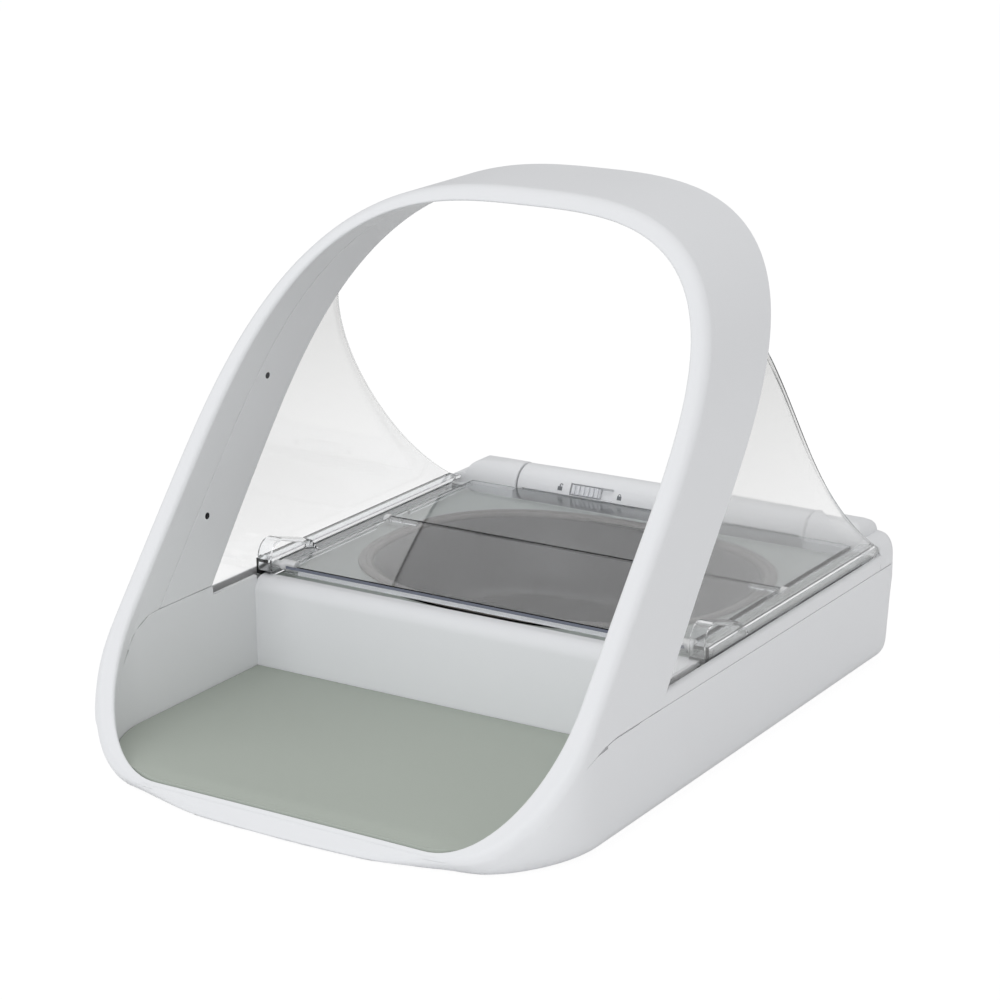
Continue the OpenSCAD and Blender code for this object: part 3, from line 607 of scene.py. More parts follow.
def makeHoopShell():
    bm = bmesh.new()
    outerLine, innerLine = ringEdges()
    count = len(outerLine)
    corner = ring["bow"] + ring["corner"]

    # above this share of "down", a point keeps its place on the plan
    level = 0.999

    def outward(edge, k):
        a, b = edge[max(0, k - 1)], edge[min(count - 1, k + 1)]
        run = hypot(b[0] - a[0], b[2] - a[2])
        return ((b[2] - a[2]) / run, -(b[0] - a[0]) / run) if k < count - 1 else (0, 1)

    def spotOf(k):
        return ("bow", k / ring["bow"]) if k < ring["bow"] else ("corner", (k - ring["bow"]) / ring["corner"])

    def outside(k, distance, d, share=1.0):
        (x, y, z), w = behind(outerLine, k, distance, ring["outerLow"], share)
        if k <= corner:
            inset, drawn = tubInset(z) + d, tubInset(z) * tub["frontShare"] + d
            return (*(planPoint(*spotOf(k), inset, drawn, z) if w > level else (planEdge(y, inset), y)), z)
        nx, nz = outward(outerLine, k)
        return (x - nx * d, y, z - nz * d)

    def inside(k, distance, grow, share=1.0):
        (x, y, z), w = behind(innerLine, k, distance, ring["innerLow"], share)
        if k <= corner:
            return (*(bayPoint(*spotOf(k), grow) if w > level else (bayEdge(y, grow), y)), z)
        nx, nz = outward(innerLine, k)
        return (x + nx * grow, y, z + nz * grow)

    def section(k):
        height, lip = outerLine[k][2] - 1, innerLine[k][2] - form["bayFloor"]
        tail, hold, sunk, held = ring["tail"], ring["hold"], ring["sunk"], ring["holdShare"]
        fold, folded, outerDepth, innerDepth = ring["fold"], ring["foldShare"], ring["outerDepth"], ring["innerDepth"]
        points = [outside(k, tail, sunk), outside(k, hold, 0, held), outerLine[k], innerLine[k],
                  inside(k, hold, 0, held), inside(k, tail, sunk), inside(k, tail, innerDepth),
                  inside(k, fold, innerDepth, folded), outside(k, fold, outerDepth, folded),
                  outside(k, tail, outerDepth)]
        marks = [0] * len(points)
        marks[2] = min(ring["edge"], 0.5 * height + 0.3)
        marks[3] = min(ring["innerEdge"], max(0.4, 0.5 * lip + 0.2))
        return points, marks

    right = [section(k) for k in range(count)]
    around = right + [([(-x, y, z) for x, y, z in p], m) for p, m in right[-2:0:-1]]
    around.append(around[0])
    laidAround(bm, around)

    # outer skin behind the ring, down to the seam, and the inner return of the opening
    skin, liner = form["skin"], form["liner"]
    outer, inset, hole, grown = outerArch(0), outerArch(skin), holeArch(0), holeArch(liner)
    start = ring["skinStart"]

    def byShare(line, amount, shares):
        return [(line, False, amount, 0, s, hoop["rim"] if s == 1 else 0) for s in shares]

    def byStep(line, inner, amount, steps):
        return [(line, inner, amount, d, None, hoop["returnRim"] if d == form["inlet"] else 0) for d in steps]

    skinColumns = byShare(outer, 0, hoop["outerShares"]) + byStep(outer, False, 0, ["start"])
    skinColumns += byStep(inset, False, skin, ["start"]) + byShare(inset, skin, hoop["innerShares"])
    returnColumns = byStep(hole, True, 0, ("start", *hoop["returnSteps"], form["inlet"]))
    returnColumns += byStep(grown, True, liner, (form["inlet"], hoop["returnHold"], "start"))
    for columns in (skinColumns, returnColumns):
        columns = columns + [columns[0]]

        def spot(a, b, columns=columns):
            line, inner, amount, offset, share, _ = columns[b]
            if offset == "start":
                p, q = line[max(0, a - 1)], line[min(len(line) - 1, a + 1)]
                dy = frontAt(q[1]) - frontAt(p[1])
                flat = hypot(q[0] - p[0], q[1] - p[1])
                offset = start / (flat / hypot(flat, dy))
            return onHoop(line[a], inner, amount, offset, share)

        laid(bm, hoop["stations"], len(columns) - 1, spot, lambda a, b, columns=columns: columns[b][5] / ring["edge"])
    closeUp(bm)
    profile = [(rail["inner"], rail["low"]), (rail["outer"], rail["low"])] + arc(*rail["bend"])
    profile.append((rail["inner"], rail["high"]))
    for side, _ in bothSides:
        pushed(bm, [(side * x, z) for x, z in profile], "y", rail["front"], rail["rear"])
    return keep("hoopShell", bm, "satinWhite", stands=["hoop_shell"], slot="white_shell", edge=ring["edge"], steps=6,
                weighted=True)


# inner half of the hoop: the return goes on to the rear, where a rim meets the outer skin
lining = {"foot": 55.3, "clear": 0.2, "drop": 2.2, "narrowFrom": 168, "narrowRun": 8, "step": 6, "fall": 2.6,
          "edge": 1.6}


def makeHoopLiner():
    liner, drop, fall = form["liner"], lining["drop"], lining["fall"]
    hole, grown = holeArch(0), holeArch(liner)
    high, low = outerArch(form["skin"] + lining["clear"]), outerArch(form["skin"] + drop)
    start = form["inlet"] + form["gap"]
    rim = []
    for (x, z), (lowX, lowZ) in zip(high, low):
        t = smooth((z - lining["narrowFrom"]) / lining["narrowRun"])
        rim.append((lowX * (1 - t) + x * t, lowZ * (1 - t) + z * t))
    columns = [(hole, True, 0, start, None, 0.3), (hole, True, 0, start + lining["step"], None, 0),
               (hole, True, 0, 0, 0.62, 0), (hole, True, 0, 0, 0.8, 0), (hole, True, 0, 0, 1.0, lining["edge"]),
               (rim, False, drop, 0, 1.0, 0.3), (rim, False, drop, -fall, 1.0, 0.2),
               (grown, True, liner, -fall, 1.0, 0), (grown, True, liner, 0, 0.6, 0),
               (grown, True, liner, start, None, 0.3)]
    columns.append(columns[0])

    def place(i, j):
        line, inner, amount, offset, share, _ = columns[j]
        return onHoop(line[i], inner, amount, offset, share, foot=lining["foot"])

    bm = bmesh.new()
    laid(bm, hoop["stations"], len(columns) - 1, place, lambda i, j: columns[j][5] / lining["edge"])
    closeUp(bm)
    return keep("hoopLiner", bm, "satinWhite", stands=["hoop_liner"], slot="white_shell", edge=lining["edge"], steps=4,
                weighted=True)


# the dark eyes of the presence sensors, a hair proud of the liner; each spot is y, z and the liner's x there
eyes = {"spots": ((-17.5, 137.4, 105.27), (-61.3, 86.3, 106)), "proud": 0.12, "deep": 0.8, "r": 1.5, "edge": 0.25}


def makeEyes():
    for side, name in bothSides:
        bm = bmesh.new()
        for y, z, x in eyes["spots"]:
            rodX(bm, *onSide(side, x - eyes["proud"], x + eyes["deep"]), y, z, eyes["r"], 40)
        keep("sensorEyes" + name, bm, "darkEye", slot="dark_sensor", edge=eyes["edge"])


makeHoopShell()
makeHoopLiner()
makeEyes()
print("hoop made")


base = {"sides": (-112, -109, -106, -103, -100, -97, -80, -60, -30, 0, 30, 60, 90, 115, 130),
        "linerSides": (-108, -106, -103, -100, -97, -90, -75, -59.5, -59.3, -45, -29.4),
        "rows": (0, 0.15, 0.5, 1, 1.8, 2.8, 4, 5.5, 7.5, 10, 15, 22, 30, 38, 44.3), "levelFrom": -95,
        "footMark": 0.3, "topMark": 0.35, "insideMark": 0.2, "linerLow": 5.7, "floorLow": 5.72, "overlap": 0.5}
curl = ([(-31, 6)] + arc(-24.5, 43.5, 6.5, 180, 90, 10) + [(-22, 50), (-22, 48.1)]
        + arc(-24.5, 43.5, 4.5, 90, 180, 8) + [(-29.2, 6)])
ledge = {"inner": 104, "outer": 112.9, "front": -27, "rear": 127, "low": 43.6, "high": 46.2}


def makeBase():
    half = frontSpots(ring["bow"], ring["corner"]) + [("side", y) for y in (frontCy, *base["sides"])]
    half += [("rearCorner", t / 10) for t in range(10)] + [("rearBow", t / 8) for t in range(9)]
    last = base["rows"][-1]

    def wallTop(kind, value):
        y = planPoint(kind, value, 0)[1]
        if y > base["levelFrom"]:
            return form["seam"]
        edge = frontHeight(y) if kind == "side" else outerEdge(kind, value)[2]
        return max(1.3, min(seamAt(y), edge - ring["skinStart"] / levelShare(outerEdge, kind, value)))

    def section(kind, value):
        top = wallTop(kind, value)
        x10, y10 = planPoint(kind, value, tub["plate"], tub["plate"], 1)
        points, marks = [(x10, y10, min(3.1, top + 1.8)), (x10, y10, 1.0)], [0, 0]
        power = 1 + 1.4 * smooth((10 - top) / 8)
        for row in base["rows"]:
            z = 1 + (top - 1) * (row / last) ** power
            points.append((*planPoint(kind, value, tubInset(z), z=z), z))
            marks.append(0)
        marks[2], marks[-1] = base["footMark"], base["topMark"]
        for t in (1.0, 0.7, 0.4, 0.15):
            z = 1 + (top - 1) * t
            d = tubInset(max(z, 3.5)) + form["skin"]
            x, y = planPoint(kind, value, d, tub["frontShare"] * (d - 2) + 2, z)
            points.append((x, y, z if top > 4 else min(z + 0.2, top)))
            marks.append(0)
        marks[-4] = base["insideMark"]
        return points, marks

    right = [section(k, v) for k, v in half]
    around = right + [([(-x, y, z) for x, y, z in p], m) for p, m in right[-2::-1]]
    bm = bmesh.new()
    laidAround(bm, around)

    # liner of the bay: its sides rise to the inner seam
    walls = frontSpots(ring["bow"], ring["corner"]) + [("side", y) for y in (bayCy, *base["linerSides"])]
    foot = base["linerLow"]

    def linerSection(kind, value):
        x, y = bayPoint(kind, value, 0)
        gx, gy = bayPoint(kind, value, form["liner"])
        edge = frontHeight(y) - ring["skinStart"] / levelShare(innerEdge, kind, value)
        top = max(foot + 0.25, min(innerSeamAt(y), edge))
        inner = [(x, y, foot + (top - foot) * t) for t in (0, 0.3, 0.6, 1.0)]
        outer = [(gx, gy, foot + (top - foot) * t) for t in (1.0, 0.5, 0)]
        return inner + outer, [0, 0, 0, 0.3, 0.2, 0, 0]

    right = [linerSection(k, v) for k, v in walls]
    laidAround(bm, [([(-x, y, z) for x, y, z in p], m) for p, m in right[::-1]][:-1] + right)
    closeUp(bm)

    # floor of the bay, the wall before the bowl with its curled top, and the ledges beside the tray
    floor = [bayPoint(*spot, base["overlap"]) for spot in frontSpots(16, 14, 1)]
    floor += [(form["holeHalf"] + base["overlap"], form["bayWall"] + 1)]
    floor = floor + [(-x, y) for x, y in floor[:0:-1]]
    pushed(bm, floor, "z", base["floorLow"], form["bayFloor"])
    pushed(bm, curl, "x", -form["holeHalf"] - 0.6, form["holeHalf"] + 0.6)
    for side, _ in bothSides:
        block(bm, *onSide(side, ledge["inner"], ledge["outer"]), ledge["front"], ledge["rear"], ledge["low"],
              ledge["high"])
    return keep("baseShell", bm, "satinWhite", stands=["base_shell"], slot="white_shell", edge=ring["edge"], steps=4,
                weighted=True)


makeBase()
print("base made")


# rear housing: a rounded cap over each end of the hinge and the wall between them
rear = {"inner": 75.3, "wallHalf": 75.9, "wallTop": 56, "wallLow": 52, "wall": 1.9, "block": 56.5, "axisY": 141,
        "axisZ": 53, "capR": 10.3, "capTop": 63.4, "capFall": 1.3, "capFrom": 75, "capLength": 30, "capEnd": 97,
        "capRun": 6.5, "blockEnd": 105.3, "blockR": 9.7, "turnR": 3.0, "frontY": 128.3, "blockY": 155, "edge": 1.6}


def rearAt(x):
    x = abs(x)
    if x > form["rearCx"]:
        return rearCy + sqrt(max(0, form["rearR"] ** 2 - (x - form["rearCx"]) ** 2))
    return rearBy + sqrt(form["rearBow"] ** 2 - x * x)


def makeRearHousing():
    bm = bmesh.new()
    bottom = form["seam"] + form["gap"]

    # height of the round cap, and of the corner block beyond and behind it
    def capTop(x):
        line = rear["capTop"] - rear["capFall"] * (x - rear["capFrom"]) / rear["capLength"]
        if x < rear["capEnd"]:
            return line
        t = min(1, (x - rear["capEnd"]) / rear["capRun"])
        return rear["block"] + (line - rear["block"]) * sqrt(1 - t * t)

    def blockTop(x):
        if x < rear["blockEnd"]:
            return rear["block"]
        r = rear["blockR"]
        return rear["block"] - r + sqrt(max(0, r ** 2 - (x - rear["blockEnd"]) ** 2))

    def section(x):
        cy, cz, cap, low = rear["axisY"], rear["axisZ"], capTop(x), blockTop(x)
        back, r = rearAt(x), rear["turnR"]
        front = [(rear["frontY"], bottom), (rear["frontY"], 50.0), (128.7, 51.3), (130.75, 51.4)]
        points = []
        for y, z in front + arc(cy, cz, rear["capR"], 186, 14, 24):
            y = min(y, back - r)
            points.append((y, min(z if y < cy else max(z, low), max(cap, low))))
        points.append((min(rear["blockY"], back - r), low))
        points = [(y, min(z, max(cap, low)) if x < rear["capEnd"] + rear["capRun"] else min(z, low)) for y, z in points]
        last = points[-1][1]
        fall = min(r, last - bottom - 0.8)
        turn = [(back - r + r * sin(radians(a)), last - fall * (1 - cos(radians(a)))) for a in range(0, 91, 18)]
        return points + turn + [(back, min(50, last - fall - 0.3)), (back, bottom)]

    stations = [rear["inner"], 78, 84, 90, 95, rear["capEnd"]]
    stations += [rear["capEnd"] + rear["capRun"] * sin(radians(a)) for a in range(12, 85, 9)]
    stations += [103.4, 103.6, rear["blockEnd"]] + [rear["blockEnd"] + 9.6 * sin(radians(a)) for a in range(10, 86, 8)]
    stations.append(form["halfWidth"])
    rows = [section(min(x, 114.93)) for x in stations]
    across, along = len(stations) - 1, len(rows[0]) - 1
    for side, _ in bothSides:
        spots = laid(bm, across, along, lambda a, b: (side * stations[a], *rows[a][b]))
        for end in (0, across):
            bmesh.ops.contextual_create(bm, geom=[spots[end, b] for b in range(along + 1)])
    layer = weightLayer(bm)
    for edge in bm.edges:
        inner = all(abs(abs(v.co.x) - rear["inner"]) < 0.01 for v in edge.verts)
        if inner and max(v.co.z for v in edge.verts) > bottom + 1:
            edge[layer] = 0.35 / rear["edge"]
    reach = [rear["wallHalf"] * (k / 10 - 1) for k in range(21)]
    heights = (bottom, rear["wallLow"], rear["wallTop"])
    wall = [(0, z) for z in heights] + [(rear["wall"], z) for z in heights[::-1]] + [(0, bottom)]
    laid(bm, 20, 6, lambda a, b: (reach[a], rearAt(reach[a]) - wall[b][0], wall[b][1]),
         lambda a, b: 0.5 / rear["edge"] if b in (2, 3) else 0)
    return keep("rearHousing", bm, "satinWhite", stands=["rear_housing"], slot="white_shell", edge=rear["edge"],
                weighted=True, steps=4)


# hinge barrel: slightly crowned, with the slot that holds the lid and the track of the lock slide
barrel = {"half": 74.8, "r": 10.5, "crown": 0.5, "slotHalf": 71.8, "slotWide": 1.05, "slotDeep": 3.4,
          "lockAngle": 24, "lockX": (-45.5, -22.5), "lockHalf": 2.9, "lockDeep": 2.6, "end": 0.7, "slideX": 41.5}


def aroundBarrel(x, y, z):
    a = radians(90 - barrel["lockAngle"])
    return (x - barrel["slideX"], rear["axisY"] + y * cos(a) - z * sin(a), rear["axisZ"] + y * sin(a) + z * cos(a))


def makeBarrel():
    bm = bmesh.new()
    low, high = barrel["lockX"]
    ends = (barrel["slotHalf"] - 0.05, barrel["slotHalf"] + 0.1, barrel["half"] - barrel["end"], barrel["half"])
    xs = [-x for x in ends[::-1]]
    xs += [-64, -56, low - 0.12, low, low + 6, low + 12, high - 5, high, high + 0.12, -12, -4, *range(6, 57, 10), 64, *ends]
    lock, lockReach = barrel["lockAngle"], degrees(barrel["lockHalf"] / barrel["r"])
    slotReach = degrees(barrel["slotWide"] / barrel["r"])
    turns = [-slotReach - 0.5, -slotReach, 0, slotReach, slotReach + 0.5, 7.1, lock - lockReach - 0.5,
             lock - lockReach, 18, lock, 30, lock + lockReach, lock + lockReach + 0.5]
    turns += list(range(48, 354 - 7, 8)) + [360 - slotReach - 0.5]

    def place(a, b):
        x, turn = xs[a], turns[b]
        r = barrel["r"] - barrel["crown"] * (x / barrel["half"]) ** 2
        if a in (0, len(xs) - 1):
            r -= barrel["end"]
        if abs(x) < barrel["slotHalf"] and abs((turn + 180) % 360 - 180) < slotReach + 0.1:
            r -= barrel["slotDeep"]
        if low - 0.01 < x < high + 0.01 and abs(turn - lock) < lockReach + 0.1:
            r -= barrel["lockDeep"]
        return (x, rear["axisY"] - r * cos(radians(turn)), rear["axisZ"] + r * sin(radians(turn)))

    laid(bm, len(xs) - 1, len(turns) - 1, place)
    closeUp(bm)
    keep("hingeBarrel", bm, "satinWhite", body="rear_leaf", stands=["hinge_barrel"], slot="white_shell", sharp=38)

    # slide of the lid lock with its grip ribs
    bm = bmesh.new()
    r = barrel["r"]
    block(bm, -3.7, 11.7, -2.3, 2.3, r - 2.3, r - 0.9)
    for k in range(6):
        block(bm, -2.6 + 2.5 * k, -1.4 + 2.5 * k, -2.2, 2.2, r - 1, r - 0.05)
    for v in bm.verts:
        v.co = aroundBarrel(*v.co)
    keep("lockSlide", bm, "gripWhite", body="lid_lock", stands=["lock_slider"], slot="white_shell", edge=0.28)

    # open and closed padlock marks at the two ends of the slide's way
    bm = bmesh.new()
    low, high, outer, inner, foot = r - 0.3, r + 0.02, 0.82, 0.48, 0.3
    for x, lift, lean in ((-9.4, 0.75, 0.55), (22.6, 0.25, 0)):
        block(bm, x - 1.15, x + 1.15, -1.5, 0.35, low, high)
        shackle = arc(x + lean, foot + lift, outer, 0, 180, 10) + arc(x + lean, foot + lift, inner, 180, 0, 10)
        pushed(bm, shackle, "z", low, high)
        block(bm, x + lean - outer, x + lean - inner, 0.2, foot + lift, low, high)
        if not lean:
            block(bm, x + inner, x + outer, 0.2, foot + lift, low, high)
    for v in bm.verts:
        x, y, z = v.co
        v.co = aroundBarrel(x, y, z - y * y / (2 * r))
    keep("lockMarks", bm, "markGrey", body="rear_leaf", slot="button_grey", edge=0.03, steps=2)


# lid: two clear leaves with turned-down lips, hinged on white pins at the middle
lid = {"half": 98.8, "low": 52, "high": 54, "front": -19.2, "midY": 62.3, "midGap": 0.35, "rearEdge": 130.2, "lip": 1.3,
       "lipLow": 50.1, "lipHigh": 51.97, "lipStart": 12.5, "lipFront": 7, "edge": 0.45, "slotHalf": 71.6,
       "slotY": 133.6, "knuckleR": 1.8, "frontKnuckle": (84, 91.6), "rearKnuckle": (92, 98.8)}
# seal, and the strip of painted shade along the lid's front edge: how much narrower than the leaf on each side, where
# from its front, and the gaps to its faces
seal = {"in": 6.5, "front": 0.05, "rear": 1.1, "low": 0.1, "high": 0.05, "edge": 0.35}
shadeStrip = {"in": 1, "front": 0.22, "rear": 0.03, "face": 0.35, "edge": 0.08}
# each pin is a rod and a head, given by their ends from the middle, radius and sides
midPin = {"y": lid["midY"], "z": lid["low"], "parts": ((84.5, 99.4, 0.8, 24), (99, 101.8, 2.7, 32))}
guidePin = {"y": -16.4, "z": 53, "parts": ((95, 108.8, 1.5, 32), (94, 101.6, 2.4, 32))}


def sideLip(bm, side, y0, y1):
    block(bm, *onSide(side, lid["half"], lid["half"] - lid["lip"]), y0, y1, lid["lipLow"], lid["lipHigh"])


def makeLid():
    h, low, high, lip = lid["half"], lid["low"], lid["high"], lid["lip"]
    bm = bmesh.new()
    y0, y1 = lid["front"], lid["midY"] - lid["midGap"]
    leaf = [(y0, lid["lipLow"]), (y0 + lip, lid["lipLow"]), (y0 + lip, low), (y1, low), (y1, high), (y0, high)]
    pushed(bm, leaf, "x", -h, h)
    for side, _ in bothSides:
        sideLip(bm, side, y0 + lid["lipFront"], y1 - lid["lipStart"])
        rodX(bm, *onSide(side, *lid["frontKnuckle"]), lid["midY"], low, lid["knuckleR"])
    part = bmesh.new()
    block(part, -h + seal["in"], h - seal["in"], y0 + lip + seal["front"], y0 + lip + seal["rear"],
          lid["lipLow"] - seal["low"], low - seal["high"])
    keep("lidSeal", part, "sealWhite", body="front_leaf", slot="white_shell", edge=seal["edge"])
    # a thin dark strip just before the lid's front face: painted shade standing in for the dark line along the clear
    # edge
    part = bmesh.new()
    block(part, -h + shadeStrip["in"], h - shadeStrip["in"], y0 - shadeStrip["front"], y0 - shadeStrip["rear"], low + shadeStrip["face"],
          high - shadeStrip["face"])
    keep("lidEdgeShade", part, "paintedEdgeShade", body="front_leaf", slot="button_grey", edge=shadeStrip["edge"], steps=2)
    keep("lidFront", bm, "lidPlastic", body="front_leaf", stands=["lid_front"], slot="clear_plastic", edge=lid["edge"])
    bm = bmesh.new()
    y0, y1 = lid["midY"] + lid["midGap"], lid["rearEdge"]
    block(bm, -h, h, y0, y1, low, high)
    block(bm, -lid["slotHalf"], lid["slotHalf"], y1 - 0.4, lid["slotY"], low, high)
    for side, _ in bothSides:
        sideLip(bm, side, y0 + lid["lipStart"], y1 - 2)
        rodX(bm, *onSide(side, *lid["rearKnuckle"]), lid["midY"], low, lid["knuckleR"])
    keep("lidRear", bm, "lidPlastic", body="rear_leaf", stands=["lid_rear"], slot="clear_plastic", edge=lid["edge"])
    for side, name in bothSides:
        for kind, body, pin in (("mid", "rear_leaf", midPin), ("guide", "front_leaf", guidePin)):
            bm = bmesh.new()
            for near, far, r, sides in pin["parts"]:
                rodX(bm, *onSide(side, near, far), pin["y"], pin["z"], r, sides)
            keep(kind + "Pin" + name, bm, "pinWhite", body=body, stands=[kind + "_pin_" + name.lower()],
                 slot="white_shell", edge=0.3)


# clear side wings, cut along a sweeping arc at the rear, and the channels that guide the lid
wing = {"inset": 2.1, "wall": 1.8, "low": 46.6, "high": 171, "rearY": 244, "rearZ": 252.7, "rearR": 228, "last": 135.5,
        "bead": 2.6, "step": 0.6, "rows": 60, "columns": 12, "tuckFrom": 52, "tuckRun": 1.5, "tuck": 5, "edge": 0.6}
track = {"inner": 102.6, "outer": 110.9, "low": 49.2, "high": 56.2, "wall": 1.5, "front": -24, "rear": 128,
         "lip": 104.2, "lipThick": 1.4, "floor": 2, "hoodOuter": 109.3, "edge": 0.35}
hood = ([(-24, 49.3), (-24, 58)] + arc(-16.5, 57, 7.5, 170, 60, 10) + [(6, 58), (12, 51.3), (10.4, 51.3), (5, 56.7)]
        + arc(-16.5, 57, 6.2, 60, 170, 10) + [(-22.7, 58), (-22.7, 49.3)])


def archHalf(z, inset):
    half, rise = form["halfWidth"] - inset, form["top"] - form["archZ"] - inset
    if z <= form["archZ"]:
        return half
    return half * max(0, 1 - ((z - form["archZ"]) / rise) ** form["archPower"]) ** (1 / form["archPower"])


def makeWings():
    rows, columns = wing["rows"], wing["columns"]
    levels = [wing["low"] + (wing["high"] - wing["low"]) * k / rows for k in range(rows + 1)]
    for side, name in bothSides:
        bm = bmesh.new()

        def place(a, b):
            z = levels[a]
            tuck = max(0, min(1, (z - wing["tuckFrom"]) / wing["tuckRun"]))
            front = backAt(z) - wing["tuck"] * tuck
            dz = z - wing["rearZ"]
            back = wing["rearY"] - sqrt(wing["rearR"] ** 2 - dz * dz)
            back = max(front + 0.5, min(wing["last"], back))
            bead = wing["bead"] if back - front > 3 * wing["bead"] else 0
            span, x = back - front - bead, archHalf(z, wing["inset"])
            if b <= columns:
                return (side * x, front + span * b / columns, z)
            return (side * (x - (wing["step"] if bead else 0)), front + span + bead * (b - columns) / 2, z)

        laid(bm, rows, columns + 2, place)
        bm.normal_update()
        if sum(f.normal.x * f.calc_area() for f in bm.faces) * side < 0:
            bmesh.ops.reverse_faces(bm, faces=bm.faces)
        keep("wing" + name, bm, "wingPlastic", stands=["wing_" + name.lower()], slot="clear_plastic", wall=wing["wall"],
             edge=wing["edge"], steps=4, faces="asLaid", sharp=50)


def makeTracks():
    x0, x1, z0, z1 = track["inner"], track["outer"], track["low"], track["high"]
    under, floor, lip = z1 - track["lipThick"], z0 + track["floor"], track["lip"]
    wall = x1 - track["wall"]
    channel = [(x0, z0), (x1, z0), (x1, z1), (lip, z1), (lip, under), (wall, under), (wall, floor), (x0, floor)]
    for side, name in bothSides:
        bm = bmesh.new()
        pushed(bm, [(side * x, z) for x, z in channel], "y", track["front"] + 1, track["rear"])
        pushed(bm, hood, "x", *onSide(side, x0, track["hoodOuter"]))
        keep("track" + name, bm, "clearPlastic", stands=["track_" + name.lower()], slot="clear_plastic",
             edge=track["edge"])


# dark bowl with a rolled rim in a pale deck
bowl = {"a": 92, "b": 69, "middle": 52, "power": 2.5, "rim": 49.75, "deck": 48.4, "bottom": 15.4, "wall": 1.8,
        "stations": 160, "wallTop": 49.4, "narrow": (0.24, 0.28), "foot": (0.25, 48.42), "inner": 6, "outer": 4.2,
        "turnR": 6}
deck = {"half": 108.6, "front": -21.6, "rear": 127.5, "low": 46.4, "skirt": 39.4, "stations": 144, "least": 0.012}


def ovalPoint(a, b, turn):
    c, s = cos(turn), sin(turn)
    power = 2 / bowl["power"]
    x, y = a * abs(c) ** power, b * abs(s) ** power
    return (x if c >= 0 else -x, bowl["middle"] + (y if s >= 0 else -y))


def ovalLoft(bm, profile, count):
    def place(i, j):
        turn = 2 * pi * (i % count) / count
        inset, z, pinch = profile[j]
        x, y = ovalPoint((bowl["a"] - inset) * pinch[0], (bowl["b"] - inset) * pinch[1], turn)
        return (x, y, z)

    return laid(bm, count, len(profile) - 1, place)


def makeBowl():
    bm = bmesh.new()
    top, deep, wall = bowl["rim"], bowl["bottom"], bowl["wall"]
    plain = (1, 1)

    def wallAt(z, inset):
        t = (bowl["wallTop"] - z) / (bowl["wallTop"] - deep)
        return (inset, z, tuple(1 - part * t for part in bowl["narrow"]))

    def turned(z, inset, angles):
        r = bowl["turnR"]
        return [wallAt(z + r - r * sin(radians(a)), inset + r * (1 - cos(radians(a)))) for a in angles]

    rim = [(*bowl["foot"], plain), (0, 48.7, plain)]
    rim += [(1.6 - 1.6 * cos(radians(a)), top - 1.0 + 1.0 * sin(radians(a)), plain) for a in (20, 45, 70, 90)]
    rim += [(2.6, top, plain), (3.1, top - 0.12, plain), (3.45, top - 0.5, plain), (3.7, top - 0.62, plain)]
    rim += [(4.2 + 1.8 * sin(radians(a)), top - 2.45 + 1.8 * cos(radians(a)), plain) for a in range(0, 91, 10)]
    inner, outer, floor = bowl["inner"], bowl["outer"], deep + wall
    inside = [wallAt(z, inner) for z in (45, 40, 34, 28, 24)] + turned(floor, inner, (15, 35, 55, 75, 90))
    inside += [wallAt(floor, d) for d in (16, 26, 40, 58)]
    under = [wallAt(deep, d) for d in (58, 40, 26, 14)] + turned(deep, outer, (75, 55, 35, 15))
    under += [wallAt(z, outer) for z in (28, 36, 44)] + [(outer, 48.3, plain), (*bowl["foot"], plain)]
    ovalLoft(bm, rim + inside, bowl["stations"])
    ovalLoft(bm, under, bowl["stations"])
    closeUp(bm)
    keep("feedBowl", bm, "darkBowl", stands=["bowl"], slot="dark_bowl", sharp=30)


def makeDeck():
    bm = bmesh.new()
    corners = [(deck["half"], deck["rear"]), (-deck["half"], deck["rear"]), (-deck["half"], deck["front"]),
               (deck["half"], deck["front"])]
    turns = [2 * pi * k / deck["stations"] for k in range(deck["stations"])]
    cornerTurns = [atan2(y - bowl["middle"], x) % (2 * pi) for x, y in corners]
    turns = [t for t in turns if min(abs(t - c) for c in cornerTurns) > deck["least"]]
    turns = sorted(turns + cornerTurns)
    count = len(turns)

    def edgePoint(turn, inset):
        dx, dy = cos(turn), sin(turn)
        reach = []
        if abs(dx) > 1e-6:
            reach.append((deck["half"] - inset) / abs(dx))
        if abs(dy) > 1e-6:
            ahead = deck["rear"] - inset - bowl["middle"] if dy > 0 else -(deck["front"] + inset) + bowl["middle"]
            reach.append(ahead / abs(dy))
        return (dx * min(reach), bowl["middle"] + dy * min(reach))

    def holePoint(turn, inset):
        # the oval met along the same ray
        a, b, n = bowl["a"] - inset, bowl["b"] - inset, bowl["power"]
        reach = (abs(cos(turn) / a) ** n + abs(sin(turn) / b) ** n) ** (-1 / n)
        return (reach * cos(turn), bowl["middle"] + reach * sin(turn))

    z0, z1, skirt = deck["low"], bowl["deck"], deck["skirt"]
    profile = [("hole", 3.5, skirt), ("hole", 3.5, z1 - 0.9), ("hole", 3.2, z1 - 0.35), ("hole", 2.6, z1 - 0.05),
               ("hole", 1.6, z1), ("hole", -1.5, z1), ("edge", 14, z1), ("edge", 1, z1), ("edge", 0.3, z1 - 0.3),
               ("edge", 0, z1 - 1), ("edge", 0, z0), ("hole", 1.5, z0), ("hole", 1.5, skirt), ("hole", 3.5, skirt)]

    def place(i, j):
        kind, inset, z = profile[j]
        turn = turns[i % count]
        x, y = holePoint(turn, inset) if kind == "hole" else edgePoint(turn, inset)
        return (x, y, z)

    laid(bm, count, len(profile) - 1, place)
    keep("deck", bm, "sageDeck", stands=["bowl_tray"], slot="sage_tray")


# soft mat in the bay, its edge falling away to the lip
mat = {"play": 0.35, "base": 7.6, "top": 10.5, "fall": 9, "edge": 0.8, "rear": -31.4, "columns": 30, "rows": 24,
       "crowd": 1.7, "lipLow": 8.7}


